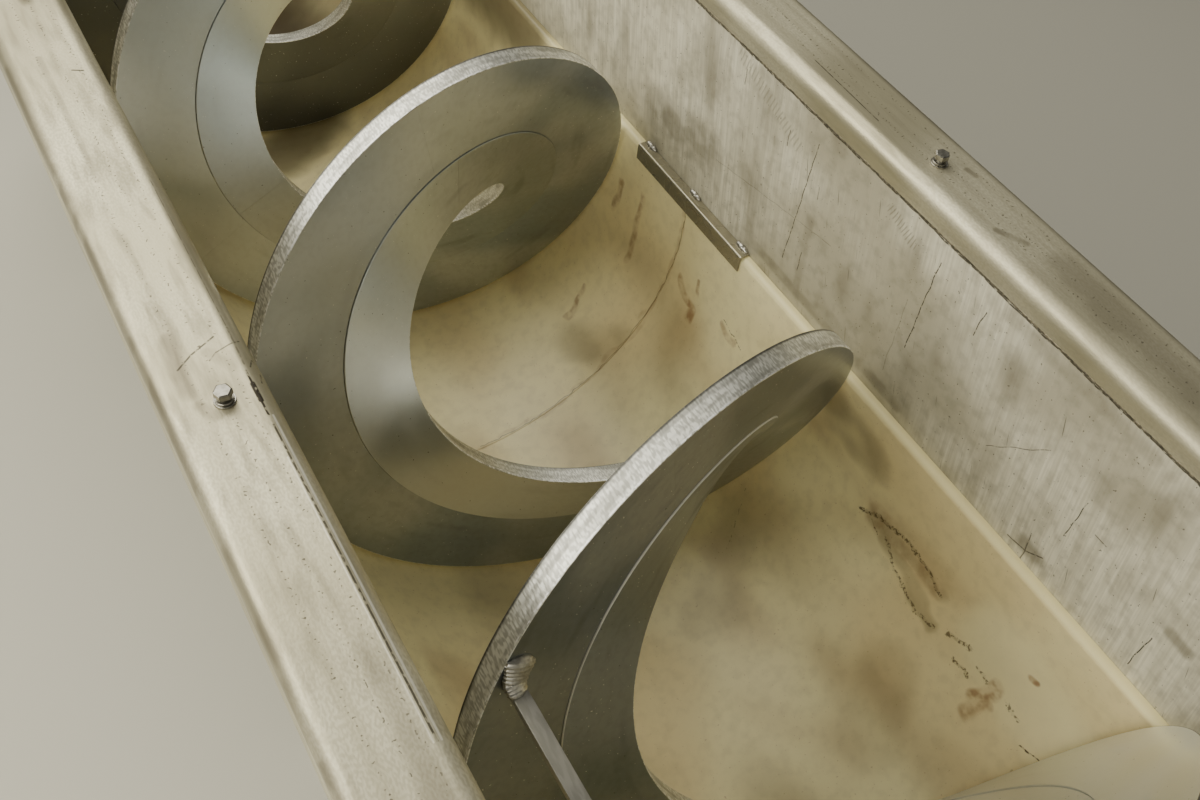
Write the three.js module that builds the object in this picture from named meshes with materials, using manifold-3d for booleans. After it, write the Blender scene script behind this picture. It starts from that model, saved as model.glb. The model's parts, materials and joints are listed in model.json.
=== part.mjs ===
// Shaftless screw conveyor: an open U-trough with a wear liner, a spiral of two concentric
// flat bands, a drive at one end and a bottom outlet at the other.
// Millimetres, +Z up, the trough runs along Y from the drive (-Y) to the outlet (+Y).
// Inside the assembly group the screw axis is x = 0, z = 0 and y is the station: the distance
// from the inner face of the drive end plate.
import * as THREE from 'three';
import { mergeVertices } from 'three/addons/utils/BufferGeometryUtils.js';
import Module from 'manifold-3d';

const wasm = await Module();
wasm.setup();

// Driving dimensions
const AXIS_HEIGHT = 640;
const SCREW_PITCH = 408;
const BAYS = 6;
const SCREW_RADIUS = 250;
const BAND_SPLIT_RADIUS = 165.6;
const CORE_RADIUS = 97.6;
const BAND_THICKNESS = 21;
const INNER_BAND_STEP = 3;
const FIRST_FLIGHT_TOP = 4;
const TROUGH_HALF_WIDTH = 267;
const PLATE = 4;
const SEAM_HEIGHT = 250;
const LINER_THICKNESS = 10;
const LINER_TOP = 44;
const RAIL_TOP = 276;
const RAIL_WIDTH = 70;
const RAIL_LIP = 45;
const SHAFT_RADIUS = 45;
const GAP = 0.3;

// Sizes that follow from the driving dimensions
const TROUGH_LENGTH = BAYS * SCREW_PITCH;
const TROUGH_OUTER = TROUGH_HALF_WIDTH + PLATE;
const LINER_OUTER = TROUGH_HALF_WIDTH - GAP;
const LINER_INNER = LINER_OUTER - LINER_THICKNESS;

// Round shapes: segments in a half circle of the trough, in a full turn and in a 90 degree bend.
// Three.js divides each arc of a shape into twice the curve segments that it is given.
const HALF_ROUND_SEGMENTS = 24;
const BAND_STEP_DEGREES = 9;
const ROUND_SEGMENTS = 36;
const BEND_SEGMENTS = 6;

// Spiral: angles in degrees run clockwise from the top, seen towards the outlet.
const SPIRAL_START = 27;
const SPIRAL_END = 1998;
const OUTER_BAND_JOINTS = [SPIRAL_START, 350, 710, 1070, 1319, 1679, SPIRAL_END];
const INNER_BAND_JOINTS = [SPIRAL_START, 360, 720, 1080, 1323, 1683, SPIRAL_END];

// Flat bars along the trough that stiffen the spiral near the drive
const BAR_WIDTH = 20;
const BAR_THICKNESS = 5;
const BAR_RADIUS = 228;
const TIE_BAR_ANGLE = 665;
const START_BAR_ANGLES = [144, 264];

// Drive end
const DISC_RADIUS = 240;
const DISC_THICKNESS = 20;
const END_PLATE_RADIUS = 300;
const DRIVE_PLATE_THICKNESS = 10;
const DRIVE_PLATE_BORE = 60;
const SHAFT_BORE = SHAFT_RADIUS + 0.65;
const GLAND_FLANGE_RADIUS = 110;
const GLAND_FLANGE_THICKNESS = 14;
const GLAND_BODY_RADIUS = 80;
const GLAND_LENGTH = 60;
const SHAFT_IN_GEARBOX = 190;
const GEARBOX_FLANGE_RADIUS = 150;
const GEARBOX_FLANGE_THICKNESS = 18;
const GEARBOX_LENGTH = 270;
const GEARBOX_HALF_WIDTH = 122;
const GEARBOX_CORNER = 40;
const GEARBOX_BORE_DEPTH = 200;
const MOTOR_RADIUS = 98;
const MOTOR_FLANGE_RADIUS = 118;
const MOTOR_FLANGE_THICKNESS = 16;
const MOTOR_LENGTH = 300;
const FAN_COVER_RADIUS = 105;
const FAN_COVER_LENGTH = 90;
const FAN_COVER_BEND = 18;
const TERMINAL_BOX = { width: 120, length: 110, height: 62, fromFlange: 70 };

// Outlet end
const OUTLET_PLATE_THICKNESS = 8;
const OUTLET_START = 2108;
const OUTLET_HALF_WIDTH = 200;
const OUTLET_BEYOND_PLATE = 22;
const OUTLET_LID_HEIGHT = -190;
const SPOUT_BOTTOM = -428;
const SPOUT_FLANGE_WIDTH = 40;
const SPOUT_FLANGE_THICKNESS = 8;
const TROUGH_SPLIT = 2040;

// Liner joint and the clips that cover it
const LINER_JOINT = 1194;
const CLIP = { length: 200, drop: 20, thickness: 2 };

// Stands
const STAND_STATIONS = [100, 1050, 2000];
const SADDLE = { thickness: 8, halfWidth: 262, bottom: -430, hornAngle: 30 };
const LEG = { size: 60, thickness: 6, top: -200 };
const FOOT = { size: 110, thickness: 8, inner: 156 };

// Finishes
const finishes = {
  trough: { color: 0xb4ae9c, roughness: 0.42, metalness: 0.85 },
  rail: { color: 0xbdb8a8, roughness: 0.38, metalness: 0.85 },
  liner: { color: 0xd9cba0, roughness: 0.45, metalness: 0.0 },
  clip: { color: 0x9b9684, roughness: 0.3, metalness: 0.9 },
  spiral: { color: 0x8f8d83, roughness: 0.45, metalness: 0.85 },
  bar: { color: 0x9d9b90, roughness: 0.35, metalness: 0.9 },
  stand: { color: 0xa8a496, roughness: 0.5, metalness: 0.8 },
  gearbox: { color: 0x5b6670, roughness: 0.5, metalness: 0.2 },
  motor: { color: 0x58636d, roughness: 0.55, metalness: 0.2 },
};

const assembly = new THREE.Group();

function addMesh(name, geometry, finish) {
  const mesh = new THREE.Mesh(geometry, new THREE.MeshStandardMaterial(finishes[finish]));
  mesh.name = name;
  assembly.add(mesh);
  return mesh;
}

// Extrudes an outline drawn in x and z along the trough, between two stations.
function extrudeAlongTrough(outline, start, end, curveSegments) {
  const depth = end - start;
  return new THREE.ExtrudeGeometry(outline, { depth, curveSegments, bevelEnabled: false });
}

function addProfile(name, outline, start, end, curveSegments, finish) {
  const mesh = addMesh(name, extrudeAlongTrough(outline, start, end, curveSegments), finish);
  mesh.rotation.x = Math.PI / 2;
  mesh.position.y = end;
  return mesh;
}

function profileSolid(outline, start, end, curveSegments) {
  const geometry = extrudeAlongTrough(outline, start, end, curveSegments);
  geometry.rotateX(Math.PI / 2);
  geometry.translate(0, end, 0);
  return toSolid(geometry);
}

function toSolid(geometry) {
  geometry.deleteAttribute('normal');
  geometry.deleteAttribute('uv');
  const merged = mergeVertices(geometry, 1e-4);
  const vertProperties = Float32Array.from(merged.attributes.position.array);
  const triVerts = Uint32Array.from(merged.index.array);
  return new wasm.Manifold(new wasm.Mesh({ numProp: 3, vertProperties, triVerts }));
}

function toGeometry(solid) {
  const mesh = solid.getMesh();
  const geometry = new THREE.BufferGeometry();
  geometry.setAttribute('position', new THREE.BufferAttribute(mesh.vertProperties, 3));
  geometry.setIndex(new THREE.BufferAttribute(mesh.triVerts, 1));
  return geometry;
}

function boxSolid(low, high) {
  const size = high.map((value, axis) => value - low[axis]);
  const geometry = new THREE.BoxGeometry(...size);
  geometry.translate(...low.map((value, axis) => value + size[axis] / 2));
  return toSolid(geometry);
}

function cylinderSolid(radius, start, end) {
  const geometry = new THREE.CylinderGeometry(radius, radius, end - start, ROUND_SEGMENTS);
  geometry.translate(0, (start + end) / 2, 0);
  return toSolid(geometry);
}

// Turns radius and station pairs round the screw axis; the list runs from low to high stations.
function turned(points) {
  return new THREE.LatheGeometry(points.map(([r, y]) => new THREE.Vector2(r, y)), ROUND_SEGMENTS);
}

// Trough: a half round with straight sides, as a wall of the given inner and outer radius.
function troughOutline(inner, outer, top) {
  const outline = new THREE.Shape();
  outline.moveTo(outer, top);
  outline.lineTo(outer, 0);
  outline.absarc(0, 0, outer, 0, -Math.PI, true);
  outline.lineTo(-outer, top);
  outline.lineTo(-inner, top);
  outline.lineTo(-inner, 0);
  outline.absarc(0, 0, inner, -Math.PI, 0, false);
  outline.lineTo(inner, top);
  return outline;
}

// The space above the spout, which is cut out of the trough's bottom and of the liner
function outletNotch() {
  return boxSolid(
    [-OUTLET_HALF_WIDTH, OUTLET_START, -2 * TROUGH_OUTER],
    [OUTLET_HALF_WIDTH, TROUGH_LENGTH + PLATE, 0],
  );
}

function addTrough() {
  const outline = troughOutline(TROUGH_HALF_WIDTH, TROUGH_OUTER, SEAM_HEIGHT);
  const segments = HALF_ROUND_SEGMENTS / 2;
  addProfile('trough_plate', outline, 0, TROUGH_SPLIT, segments, 'trough');
  const outletPart = profileSolid(outline, TROUGH_SPLIT + GAP, TROUGH_LENGTH, segments);
  addMesh('outlet_trough_plate', toGeometry(outletPart.subtract(outletNotch())), 'trough');
}

// Rail: a formed channel on the wall's top, with a round inner bend and a down-turned lip.
function railOutline(side) {
  const bend = 13;
  const lipBend = 12;
  const inner = TROUGH_HALF_WIDTH;
  const outer = inner + RAIL_WIDTH;
  const low = RAIL_TOP - bend;
  const flat = [inner + bend, outer - lipBend];
  const outline = new THREE.Shape();
  const arc = (x, z, radius, from, to) => {
    for (let step = 0; step <= BEND_SEGMENTS; step += 1) {
      const angle = THREE.MathUtils.degToRad(from + ((to - from) * step) / BEND_SEGMENTS);
      outline.lineTo(side * (x + radius * Math.cos(angle)), z + radius * Math.sin(angle));
    }
  };
  outline.moveTo(side * inner, SEAM_HEIGHT + GAP);
  arc(flat[0], low, bend, 180, 90);
  arc(flat[1], RAIL_TOP - lipBend, lipBend, 90, 0);
  outline.lineTo(side * outer, RAIL_TOP - RAIL_LIP);
  outline.lineTo(side * (outer - PLATE), RAIL_TOP - RAIL_LIP);
  arc(flat[1], RAIL_TOP - lipBend, lipBend - PLATE, 0, 90);
  arc(flat[0], low, bend - PLATE, 90, 180);
  outline.lineTo(side * (inner + PLATE), SEAM_HEIGHT + GAP);
  return outline;
}

function addRails() {
  addProfile('right_rail', railOutline(1), 0, TROUGH_LENGTH, 1, 'rail');
  addProfile('left_rail', railOutline(-1), 0, TROUGH_LENGTH, 1, 'rail');
}

// End plates follow the trough outside, as a flange that the walls are welded to.
function endPlateOutline() {
  const outline = new THREE.Shape();
  outline.moveTo(END_PLATE_RADIUS, RAIL_TOP);
  outline.lineTo(END_PLATE_RADIUS, 0);
  outline.absarc(0, 0, END_PLATE_RADIUS, 0, -Math.PI, true);
  outline.lineTo(-END_PLATE_RADIUS, RAIL_TOP);
  return outline;
}

function addEndPlates() {
  const driveOutline = endPlateOutline();
  const bore = new THREE.Path();
  bore.absarc(0, 0, DRIVE_PLATE_BORE, 0, 2 * Math.PI, false);
  driveOutline.holes.push(bore);
  const segments = HALF_ROUND_SEGMENTS / 2;
  addProfile('drive_end_plate', driveOutline, -GAP - DRIVE_PLATE_THICKNESS, -GAP, segments, 'trough');
  const start = TROUGH_LENGTH + GAP;
  const end = start + OUTLET_PLATE_THICKNESS;
  const spoutHalfWidth = OUTLET_HALF_WIDTH + PLATE + GAP;
  const passage = boxSolid(
    [-spoutHalfWidth, start - PLATE, -2 * END_PLATE_RADIUS],
    [spoutHalfWidth, end + PLATE, OUTLET_LID_HEIGHT],
  );
  const plate = profileSolid(endPlateOutline(), start, end, segments).subtract(passage);
  addMesh('outlet_end_plate', toGeometry(plate), 'trough');
}

// Spout: a square duct below the outlet, with a lid where it passes the end plate and a flange.
function addSpout() {
  const plateStart = TROUGH_LENGTH - GAP;
  const plateEnd = TROUGH_LENGTH + OUTLET_PLATE_THICKNESS + 2 * GAP;
  const end = plateEnd + OUTLET_BEYOND_PLATE;
  const half = OUTLET_HALF_WIDTH;
  const flangeTop = SPOUT_BOTTOM + SPOUT_FLANGE_THICKNESS;
  const walls = boxSolid([-half - PLATE, OUTLET_START - PLATE, SPOUT_BOTTOM],
    [half + PLATE, end + PLATE, OUTLET_LID_HEIGHT + PLATE + SPOUT_FLANGE_WIDTH]);
  const flange = boxSolid(
    [-half - SPOUT_FLANGE_WIDTH, OUTLET_START - SPOUT_FLANGE_WIDTH, SPOUT_BOTTOM],
    [half + SPOUT_FLANGE_WIDTH, end + SPOUT_FLANGE_WIDTH, flangeTop],
  );
  const duct = boxSolid([-half, OUTLET_START, 2 * SPOUT_BOTTOM], [half, end, OUTLET_LID_HEIGHT]);
  const troughSpace = cylinderSolidInTrough(OUTLET_START - 2 * PLATE, plateEnd);
  const plateSpace = boxSolid([-2 * half, plateStart, OUTLET_LID_HEIGHT - GAP], [2 * half, plateEnd, 0]);
  const aboveLid = boxSolid([-2 * half, plateStart, OUTLET_LID_HEIGHT + PLATE], [2 * half, 2 * end, 0]);
  const spout = walls.add(flange).subtract(duct).subtract(troughSpace).subtract(plateSpace);
  addMesh('outlet_spout', toGeometry(spout.subtract(aboveLid)), 'trough');
}

// The trough's outer form with a little room round it, with the same facets as the trough itself
function cylinderSolidInTrough(start, end) {
  const outline = new THREE.Shape();
  const radius = TROUGH_OUTER + GAP;
  outline.moveTo(radius, 0);
  outline.absarc(0, 0, radius, 0, -Math.PI, true);
  return profileSolid(outline, start, end, HALF_ROUND_SEGMENTS / 2);
}

function addLiners() {
  const outline = troughOutline(LINER_INNER, LINER_OUTER, LINER_TOP);
  const segments = HALF_ROUND_SEGMENTS / 2;
  addProfile('drive_liner', outline, GAP, LINER_JOINT - GAP / 2, segments, 'liner');
  const outletPart = profileSolid(outline, LINER_JOINT + GAP / 2, TROUGH_LENGTH - GAP, segments);
  addMesh('outlet_liner', toGeometry(outletPart.subtract(outletNotch())), 'liner');
}

// Clip: a small angle tacked to the wall, its top leg over the liner's edge, its front leg down.
function clipOutline(side) {
  const wall = LINER_OUTER;
  const face = LINER_INNER - GAP;
  const under = LINER_TOP + GAP;
  const top = under + CLIP.thickness;
  const outline = new THREE.Shape();
  outline.moveTo(side * wall, top);
  outline.lineTo(side * (face - CLIP.thickness), top);
  outline.lineTo(side * (face - CLIP.thickness), top - CLIP.drop);
  outline.lineTo(side * face, top - CLIP.drop);
  outline.lineTo(side * face, under);
  outline.lineTo(side * wall, under);
  return outline;
}

function addClips() {
  const start = LINER_JOINT - CLIP.length / 2;
  const end = LINER_JOINT + CLIP.length / 2;
  addProfile('right_clip', clipOutline(1), start, end, 1, 'clip');
  addProfile('left_clip', clipOutline(-1), start, end, 1, 'clip');
}

// Stand: a saddle plate under the trough on two angle legs, each welded to its foot plate.
function addSaddle(name, station) {
  const radius = TROUGH_OUTER + GAP;
  const from = THREE.MathUtils.degToRad(-SADDLE.hornAngle);
  const top = radius * Math.sin(from);
  const outline = new THREE.Shape();
  outline.moveTo(SADDLE.halfWidth, SADDLE.bottom);
  outline.lineTo(SADDLE.halfWidth, top);
  outline.lineTo(radius * Math.cos(from), top);
  outline.absarc(0, 0, radius, from, -Math.PI - from, true);
  outline.lineTo(-SADDLE.halfWidth, top);
  outline.lineTo(-SADDLE.halfWidth, SADDLE.bottom);
  const half = SADDLE.thickness / 2;
  const stepDegrees = 180 / HALF_ROUND_SEGMENTS;
  const segments = (180 - 2 * SADDLE.hornAngle) / stepDegrees / 2;
  addProfile(name, outline, station - half, station + half, segments, 'stand');
}

function addLeg(name, side, station) {
  const outer = SADDLE.halfWidth;
  const inner = outer - LEG.size;
  const face = station + SADDLE.thickness / 2 + GAP;
  const footTop = FOOT.thickness - AXIS_HEIGHT;
  const outline = new THREE.Shape();
  outline.moveTo(side * inner, face);
  outline.lineTo(side * outer, face);
  outline.lineTo(side * outer, face + LEG.size);
  outline.lineTo(side * (outer - LEG.thickness), face + LEG.size);
  outline.lineTo(side * (outer - LEG.thickness), face + LEG.thickness);
  outline.lineTo(side * inner, face + LEG.thickness);
  const depth = LEG.top - footTop;
  const angle = new THREE.ExtrudeGeometry(outline, { depth, bevelEnabled: false });
  angle.translate(0, 0, footTop);
  const middle = face + LEG.size / 2;
  const footEdges = [side * FOOT.inner, side * (FOOT.inner + FOOT.size)].sort((a, b) => a - b);
  const foot = boxSolid(
    [footEdges[0], middle - FOOT.size / 2, -AXIS_HEIGHT],
    [footEdges[1], middle + FOOT.size / 2, footTop],
  );
  addMesh(name, toGeometry(toSolid(angle).add(foot)), 'stand');
}

function addStands() {
  STAND_STATIONS.forEach((station, index) => {
    addSaddle(`saddle_${index + 1}`, station);
    addLeg(`right_leg_${index + 1}`, 1, station);
    addLeg(`left_leg_${index + 1}`, -1, station);
  });
}

// Drive: gland on the end plate, then a hollow-shaft gearbox with its motor, all in line.
function addDrive() {
  const glandStart = -2 * GAP - DRIVE_PLATE_THICKNESS - GLAND_LENGTH;
  const glandEnd = glandStart + GLAND_LENGTH;
  const glandStep = glandEnd - GLAND_FLANGE_THICKNESS;
  addMesh('shaft_gland', turned([
    [SHAFT_BORE, glandStart],
    [GLAND_BODY_RADIUS, glandStart],
    [GLAND_BODY_RADIUS, glandStep],
    [GLAND_FLANGE_RADIUS, glandStep],
    [GLAND_FLANGE_RADIUS, glandEnd],
    [SHAFT_BORE, glandEnd],
    [SHAFT_BORE, glandStart],
  ]), 'stand');

  const gearboxEnd = glandStart - GAP;
  const gearboxStart = gearboxEnd - GEARBOX_LENGTH;
  const flange = cylinderSolid(GEARBOX_FLANGE_RADIUS, gearboxEnd - GEARBOX_FLANGE_THICKNESS, gearboxEnd);
  const housing = profileSolid(chamferedSquare(), gearboxStart, gearboxEnd - PLATE, 1);
  const bore = cylinderSolid(SHAFT_BORE, gearboxEnd - GEARBOX_BORE_DEPTH, gearboxEnd + PLATE);
  addMesh('gearbox', toGeometry(flange.add(housing).subtract(bore)), 'gearbox');

  const motorEnd = gearboxStart - GAP;
  const motorStep = motorEnd - MOTOR_FLANGE_THICKNESS;
  const motorStart = motorEnd - MOTOR_LENGTH;
  addMesh('motor', turned([
    [0, motorStart],
    [MOTOR_RADIUS, motorStart],
    [MOTOR_RADIUS, motorStep],
    [MOTOR_FLANGE_RADIUS, motorStep],
    [MOTOR_FLANGE_RADIUS, motorEnd],
    [0, motorEnd],
  ]), 'motor');

  const coverEnd = motorStart - GAP;
  const coverStart = coverEnd - FAN_COVER_LENGTH;
  addMesh('fan_cover', turned([
    [0, coverStart],
    [FAN_COVER_RADIUS - FAN_COVER_BEND, coverStart],
    [FAN_COVER_RADIUS, coverStart + FAN_COVER_BEND],
    [FAN_COVER_RADIUS, coverEnd],
    [0, coverEnd],
  ]), 'motor');

  const { width, length, height, fromFlange } = TERMINAL_BOX;
  const box = addMesh('terminal_box', new THREE.BoxGeometry(width, length, height), 'motor');
  box.position.set(0, motorStep - fromFlange - length / 2, MOTOR_RADIUS + GAP + height / 2);
  return coverStart;
}

function chamferedSquare() {
  const edge = GEARBOX_HALF_WIDTH;
  const cut = edge - GEARBOX_CORNER;
  const corners = [[edge, -cut], [edge, cut], [cut, edge], [-cut, edge]];
  const opposite = corners.map(([x, z]) => [-x, -z]);
  return new THREE.Shape([...corners, ...opposite].map(([x, z]) => new THREE.Vector2(x, z)));
}

// Station of the spiral's front face at an angle
function flightStation(degrees) {
  return FIRST_FLIGHT_TOP + (SCREW_PITCH * degrees) / 360;
}

// Angles where a band's facets meet: its two ends, and the steps that both bands share
function facetAngles(from, to, buttGap) {
  const angles = [from + buttGap];
  let step = BAND_STEP_DEGREES * (Math.floor(from / BAND_STEP_DEGREES) + 1);
  while (step < to) {
    angles.push(step);
    step += BAND_STEP_DEGREES;
  }
  angles.push(to - buttGap);
  return angles;
}

// Band: a straight bar with a slice for each facet, wound round the axis as a helix.
function bandGeometry(innerRadius, outerRadius, front, from, to) {
  const angles = facetAngles(from, to, THREE.MathUtils.radToDeg(GAP / 2 / innerRadius));
  const slices = angles.length - 1;
  const width = outerRadius - innerRadius;
  const geometry = new THREE.BoxGeometry(width, BAND_THICKNESS, slices, 1, 1, slices);
  const position = geometry.attributes.position;
  for (let i = 0; i < position.count; i += 1) {
    const radius = (innerRadius + outerRadius) / 2 + position.getX(i);
    const degrees = angles[Math.round(slices / 2 - position.getZ(i))];
    const angle = THREE.MathUtils.degToRad(degrees);
    const along = flightStation(degrees) + front + BAND_THICKNESS / 2 + position.getY(i);
    position.setXYZ(i, radius * Math.sin(angle), along, radius * Math.cos(angle));
  }
  return geometry;
}

function addBands() {
  const outerFrom = BAND_SPLIT_RADIUS + GAP / 2;
  const innerTo = BAND_SPLIT_RADIUS - GAP / 2;
  for (let piece = 1; piece < OUTER_BAND_JOINTS.length; piece += 1) {
    const [from, to] = OUTER_BAND_JOINTS.slice(piece - 1, piece + 1);
    const band = bandGeometry(outerFrom, SCREW_RADIUS, 0, from, to);
    addMesh(`outer_band_${piece}`, band, 'spiral');
  }
  for (let piece = 1; piece < INNER_BAND_JOINTS.length; piece += 1) {
    const [from, to] = INNER_BAND_JOINTS.slice(piece - 1, piece + 1);
    const band = bandGeometry(CORE_RADIUS, innerTo, -INNER_BAND_STEP, from, to);
    addMesh(`inner_band_${piece}`, band, 'spiral');
  }
}

// Bar: lies along the trough at an angle, its far end cut to the slope of the flight it meets.
function addBar(name, degrees, start, startSlope) {
  const end = flightStation(degrees) - GAP;
  const geometry = new THREE.BoxGeometry(BAR_THICKNESS, end - start, BAR_WIDTH);
  const angle = THREE.MathUtils.degToRad(degrees);
  const position = geometry.attributes.position;
  for (let i = 0; i < position.count; i += 1) {
    const across = position.getX(i);
    const radius = BAR_RADIUS + position.getZ(i);
    const slope = (SCREW_PITCH / (2 * Math.PI)) * Math.atan2(across, radius);
    const atFlight = position.getY(i) > 0 ? 1 : startSlope;
    const along = (start + end) / 2 + position.getY(i) + slope * atFlight;
    const x = radius * Math.sin(angle) + across * Math.cos(angle);
    const z = radius * Math.cos(angle) - across * Math.sin(angle);
    position.setXYZ(i, x, along, z);
  }
  addMesh(name, geometry, 'bar');
}

function addSpiralDrive() {
  const discFront = flightStation(SPIRAL_START) - INNER_BAND_STEP - GAP;
  const discBack = discFront - DISC_THICKNESS;
  const shaftStart = -2 * GAP - DRIVE_PLATE_THICKNESS - GLAND_LENGTH - SHAFT_IN_GEARBOX;
  addMesh('drive_disc', turned([
    [0, discBack],
    [DISC_RADIUS, discBack],
    [DISC_RADIUS, discFront],
    [0, discFront],
  ]), 'spiral');
  addMesh('drive_shaft', turned([
    [0, shaftStart],
    [SHAFT_RADIUS, shaftStart],
    [SHAFT_RADIUS, discBack - GAP],
    [0, discBack - GAP],
  ]), 'bar');
  START_BAR_ANGLES.forEach((degrees, index) => {
    addBar(`start_bar_${index + 1}`, degrees, discFront + GAP, 0);
  });
  const tieStart = flightStation(TIE_BAR_ANGLE - 360) + BAND_THICKNESS + GAP;
  addBar('tie_bar', TIE_BAR_ANGLE, tieStart, 1);
}

addTrough();
addRails();
addEndPlates();
addSpout();
addLiners();
addClips();
addStands();
const driveStart = addDrive();
addBands();
addSpiralDrive();

// The part's origin is on the floor, under the middle of its length.
const spoutEnd = TROUGH_LENGTH + OUTLET_PLATE_THICKNESS + 2 * GAP + OUTLET_BEYOND_PLATE + SPOUT_FLANGE_WIDTH;
assembly.position.set(0, -(driveStart + spoutEnd) / 2, AXIS_HEIGHT);

const conveyor = new THREE.Group();
conveyor.add(assembly);

export default conveyor;
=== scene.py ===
"""Dresses the shaftless screw conveyor: its finishes, fine surfaces and small parts.

Pieces are made in millimetres on the conveyor's own axes: x across the trough, y the station
counted from the inner face of the drive end plate, and z up from the screw's axis. A finished
piece is turned into metres in the part's frame.
"""

import json
import logging
import math
from collections.abc import Iterable, Sequence
from dataclasses import dataclass, field
from enum import Enum
from typing import Any

import bmesh
import bpy
from bmesh.types import BMEdge, BMesh, BMVert
from mathutils import Matrix, Vector


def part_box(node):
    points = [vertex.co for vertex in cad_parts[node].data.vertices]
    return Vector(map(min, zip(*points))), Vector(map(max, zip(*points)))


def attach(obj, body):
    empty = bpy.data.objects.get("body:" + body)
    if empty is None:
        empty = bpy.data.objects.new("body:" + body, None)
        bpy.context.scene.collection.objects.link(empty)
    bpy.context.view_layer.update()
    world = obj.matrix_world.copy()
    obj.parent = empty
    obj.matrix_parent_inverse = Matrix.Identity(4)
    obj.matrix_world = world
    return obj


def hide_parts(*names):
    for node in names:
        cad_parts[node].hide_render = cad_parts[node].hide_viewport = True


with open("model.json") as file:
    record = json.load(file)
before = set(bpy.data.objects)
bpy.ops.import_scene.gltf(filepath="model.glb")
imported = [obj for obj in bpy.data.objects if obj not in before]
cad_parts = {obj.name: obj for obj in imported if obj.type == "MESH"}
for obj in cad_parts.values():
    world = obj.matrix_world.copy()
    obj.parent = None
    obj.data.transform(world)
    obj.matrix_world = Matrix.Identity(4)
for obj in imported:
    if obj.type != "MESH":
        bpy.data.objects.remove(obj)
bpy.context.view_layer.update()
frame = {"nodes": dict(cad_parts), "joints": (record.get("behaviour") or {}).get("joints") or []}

MM = 0.001
# holds each vertex's length, radius and depth along the spiral
WOUND_ATTRIBUTE = "wound"
Point = tuple[float, float, float]
Socket = bpy.types.NodeSocket
Material = bpy.types.Material
log = logging.getLogger("conveyor")


class Body(Enum):
    """The two bodies that a piece can ride on."""

    FRAME = "frame"
    SCREW = "screw"


class Side(Enum):
    """The two sides of the trough, seen from the drive towards the outlet."""

    RIGHT = 1
    LEFT = -1

    @property
    def word(self) -> str:
        """The side's name as the nodes spell it."""
        return self.name.lower()


@dataclass(frozen=True)
class Sizes:
    """Driving sizes that several sub-assemblies share, in millimetres and degrees."""

    length: float = 2448.0
    half_width: float = 267.0
    plate: float = 4.0
    seam_height: float = 250.0
    liner_thickness: float = 10.0
    liner_top: float = 44.0
    rail_top: float = 276.0
    rail_width: float = 70.0
    screw_radius: float = 250.0
    band_split: float = 165.6
    core_radius: float = 97.6
    band_thickness: float = 21.0
    inner_band_step: float = 3.0
    pitch: float = 408.0
    first_flight_top: float = 4.0
    spiral_start: float = 27.0
    gap: float = 0.3

    @property
    def liner_outer(self) -> float:
        """Radius of the liner's outer face."""
        return self.half_width - self.gap

    @property
    def liner_inner(self) -> float:
        """Radius of the liner's inner face."""
        return self.liner_outer - self.liner_thickness

    def flight_station(self, degrees: float) -> float:
        """Station of the outer band's front face at an angle.

        Args:
            degrees: Angle round the screw's axis, counted from the top of the first turn.

        Returns:
            The station in millimetres.
        """
        return self.first_flight_top + self.pitch * degrees / 360


SIZES = Sizes()


@dataclass(frozen=True)
class Datum:
    """Where the conveyor's own axes stand in the part's frame, in metres."""

    station_zero: float
    axis_height: float

    @classmethod
    def from_frame(cls) -> "Datum":
        """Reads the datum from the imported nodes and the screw's joint."""
        low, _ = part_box("trough_plate")
        return cls(station_zero=low.y, axis_height=frame["joints"][0]["pos_m"][2])

    @property
    def matrix(self) -> Matrix:
        """Turns the conveyor's millimetres into metres in the part's frame."""
        return Matrix.Translation((0.0, self.station_zero, self.axis_height)) @ Matrix.Scale(MM, 4)

    def place(self, point: Sequence[float]) -> Vector:
        """Turns one point of the conveyor's own axes into the part's frame."""
        return self.matrix @ Vector(point)


DATUM = Datum.from_frame()


def linear(hex_colour: str) -> tuple[float, float, float, float]:
    """Turns an sRGB hex colour into Blender's linear colour.

    Args:
        hex_colour: Six hex digits, with or without a leading hash.

    Returns:
        Red, green, blue and an alpha of 1.
    """
    digits = hex_colour.lstrip("#")
    channels = [int(digits[i : i + 2], 16) / 255 for i in (0, 2, 4)]
    red, green, blue = (c / 12.92 if c <= 0.04045 else ((c + 0.055) / 1.055) ** 2.4 for c in channels)
    return (red, green, blue, 1.0)


# Finishes


class Face(Enum):
    """A face that marks are drawn on as if it were unrolled flat, in millimetres."""

    RIGHT_WALL = "station and height"
    RAIL_TOPS = "station and width"
    LINER = "station and way round"

    def flat(self, point: Point) -> tuple[float, float]:
        """Unrolls a point onto the face."""
        x, station, z = point
        if self is Face.LINER:
            return station, SIZES.liner_inner * math.atan2(z, x)
        return station, z if self is Face.RIGHT_WALL else x


def sums(operation: str, vectors: bool = False, result: int | str = 0, **settings: bool) -> tuple[Any, ...]:
    """One row of steps: a sum on numbers, or on vectors."""
    kind = "ShaderNodeVectorMath" if vectors else "ShaderNodeMath"
    return kind, range(3), result, {"operation": operation, **settings}


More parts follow.
